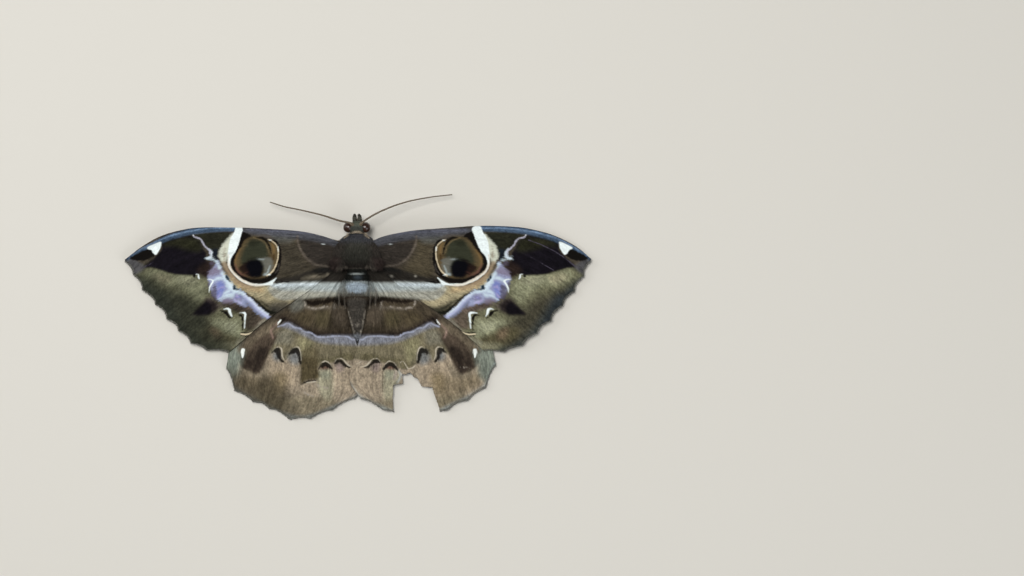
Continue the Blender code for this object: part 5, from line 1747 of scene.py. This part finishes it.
def eye_look():
    """Dark red-brown glass over fine facets."""
    look, tree = new_material("eye_facets")
    place = own_place(tree)
    inputs = {"Vector": place, "Scale": 15000.0}
    facets = add_node(tree, "ShaderNodeTexVoronoi", inputs, feature="DISTANCE_TO_EDGE")
    colour = mix_colours(tree, noise(tree, place, 1500.0), opaque("#120907"), opaque("#3a2013"))
    finish_surface(tree, colour, facets.outputs["Distance"], strength=0.35, depth=0.02, Roughness=0.28,
                   Coat_Weight=0.4)
    return look


def horn_look(name, dark, light, bands):
    """Smooth brown horn with pale rings along it and a fine grain."""
    look, tree = new_material(name)
    grains = noise(tree, own_place(tree), 3200.0)
    ring = math_node(tree, "FRACT", math_node(tree, "MULTIPLY", attribute(tree, "along", "Fac"), bands))
    pale = math_node(tree, "GREATER_THAN", ring, 0.78)
    share = math_node(tree, "MULTIPLY_ADD", grains, 0.5, math_node(tree, "MULTIPLY", pale, 0.45))
    colour = mix_colours(tree, share, opaque(dark), opaque(light))
    finish_surface(tree, colour, grains, strength=0.3, depth=0.03, Roughness=0.5)
    return look


def floor_look():
    look, tree = new_material("floor_paper")
    grains = noise(tree, own_place(tree), 900.0)
    finish_surface(tree, opaque("#cfccc4"), grains, strength=0.08, depth=0.05, Roughness=0.85)
    return look


# Floor, camera and lights

def build_floor(look):
    slab = bmesh.new()
    bmesh.ops.create_grid(slab, x_segments=1, y_segments=1, size=0.9)
    floor = placed("floor", closed(slab, bpy.data.meshes.new("floor")))
    floor.data.materials.append(look)


def softbox(name, place, size, power, colour):
    """A soft light that looks at the moth from a place in mm."""
    lamp = bpy.data.lights.new(name, "AREA")
    lamp.shape = "SQUARE"
    lamp.size = size * MM
    lamp.energy = power
    lamp.color = colour
    made = placed(name, lamp)
    made.location = Vector(place) * MM
    made.rotation_euler = (-made.location).to_track_quat("-Z", "Y").to_euler()


def build_camera():
    """Looks straight down and sees the frame's width at the height of the wings."""
    data = bpy.data.cameras.new("camera")
    data.sensor_width = SENSOR
    data.lens = LENS
    data.clip_start = 0.01
    camera = placed("camera", data)
    camera.location = Vector((*FRAME_MIDDLE, WING_LEVEL + FRAME_WIDTH * LENS / SENSOR)) * MM
    bpy.context.scene.camera = camera


def build_lights():
    for name, light in LIGHTS.items():
        softbox(name, **light)
    world = bpy.data.worlds.new("studio")
    world.use_nodes = True
    sky = world.node_tree.nodes["Background"]
    feed(world.node_tree, sky, {"Color": SKY_COLOUR, "Strength": SKY_STRENGTH})
    bpy.context.scene.world = world
    bpy.context.scene.view_settings.view_transform = "Standard"


def main():
    rows_group = scale_rows_group()
    marks_group = marking_group()
    looks = {}
    for kind, marks in (("forewing", FOREWING_MARKS), ("hindwing", HINDWING_MARKS)):
        looks[kind] = (wing_look(kind + "_scales", marks, rows_group, marks_group),
                       underside_look(kind + "_underside", rows_group))
    fringe_look = coat_look("fringe_scales", 0.75)
    coat = coat_look("body_coat", 0.8)
    skin_look = coat_look("body_skin", 0.9)
    eyes = eye_look()
    feeler_horn = horn_look("feeler_horn", dark="#33291f", light="#8a7a62", bands=FEELER_RINGS)
    leg_horn = horn_look("leg_horn", dark="#352b22", light="#7a6c57", bands=5.0)
    tongue_horn = horn_look("tongue_horn", dark="#3a2719", light="#6b4a2e", bands=TONGUE_RIDGES)

    build_camera()
    build_lights()
    build_floor(floor_look())

    for name, side in SIDES.items():
        over = name == "right"
        forewing = FOREWING | FOREWING_OUTLINES[name] | {"side": name, "over": False, "torn": False}
        forewing |= {"tones": FOREWING_TONES, "marks": FOREWING_MARKS}
        hindwing = HINDWING | HINDWING_OUTLINES[name] | {"side": name, "over": over, "torn": over}
        hindwing |= {"tones": HINDWING_TONES, "marks": HINDWING_MARKS}
        wing_skin("forewing_" + name, forewing, looks["forewing"])
        fringe("forewing_fringe_" + name, forewing, fringe_look)
        wing_skin("hindwing_" + name, hindwing, looks["hindwing"])
        fringe("hindwing_fringe_" + name, hindwing, fringe_look)
        wing_hair("hindwing_hair_" + name, hindwing, HINDWING_HAIR, coat)
        wing_hair("forewing_hair_" + name, forewing, FOREWING_HAIR, coat)
        eye("eye_" + name, side, eyes)
        feeler("antenna_" + name, FEELER_PATHS[name], feeler_horn)
    skin = body_skin(skin_look)
    body_coat(skin, coat)
    palps(skin_look, coat)
    tongue(tongue_horn)
    legs(leg_horn, coat)


main()
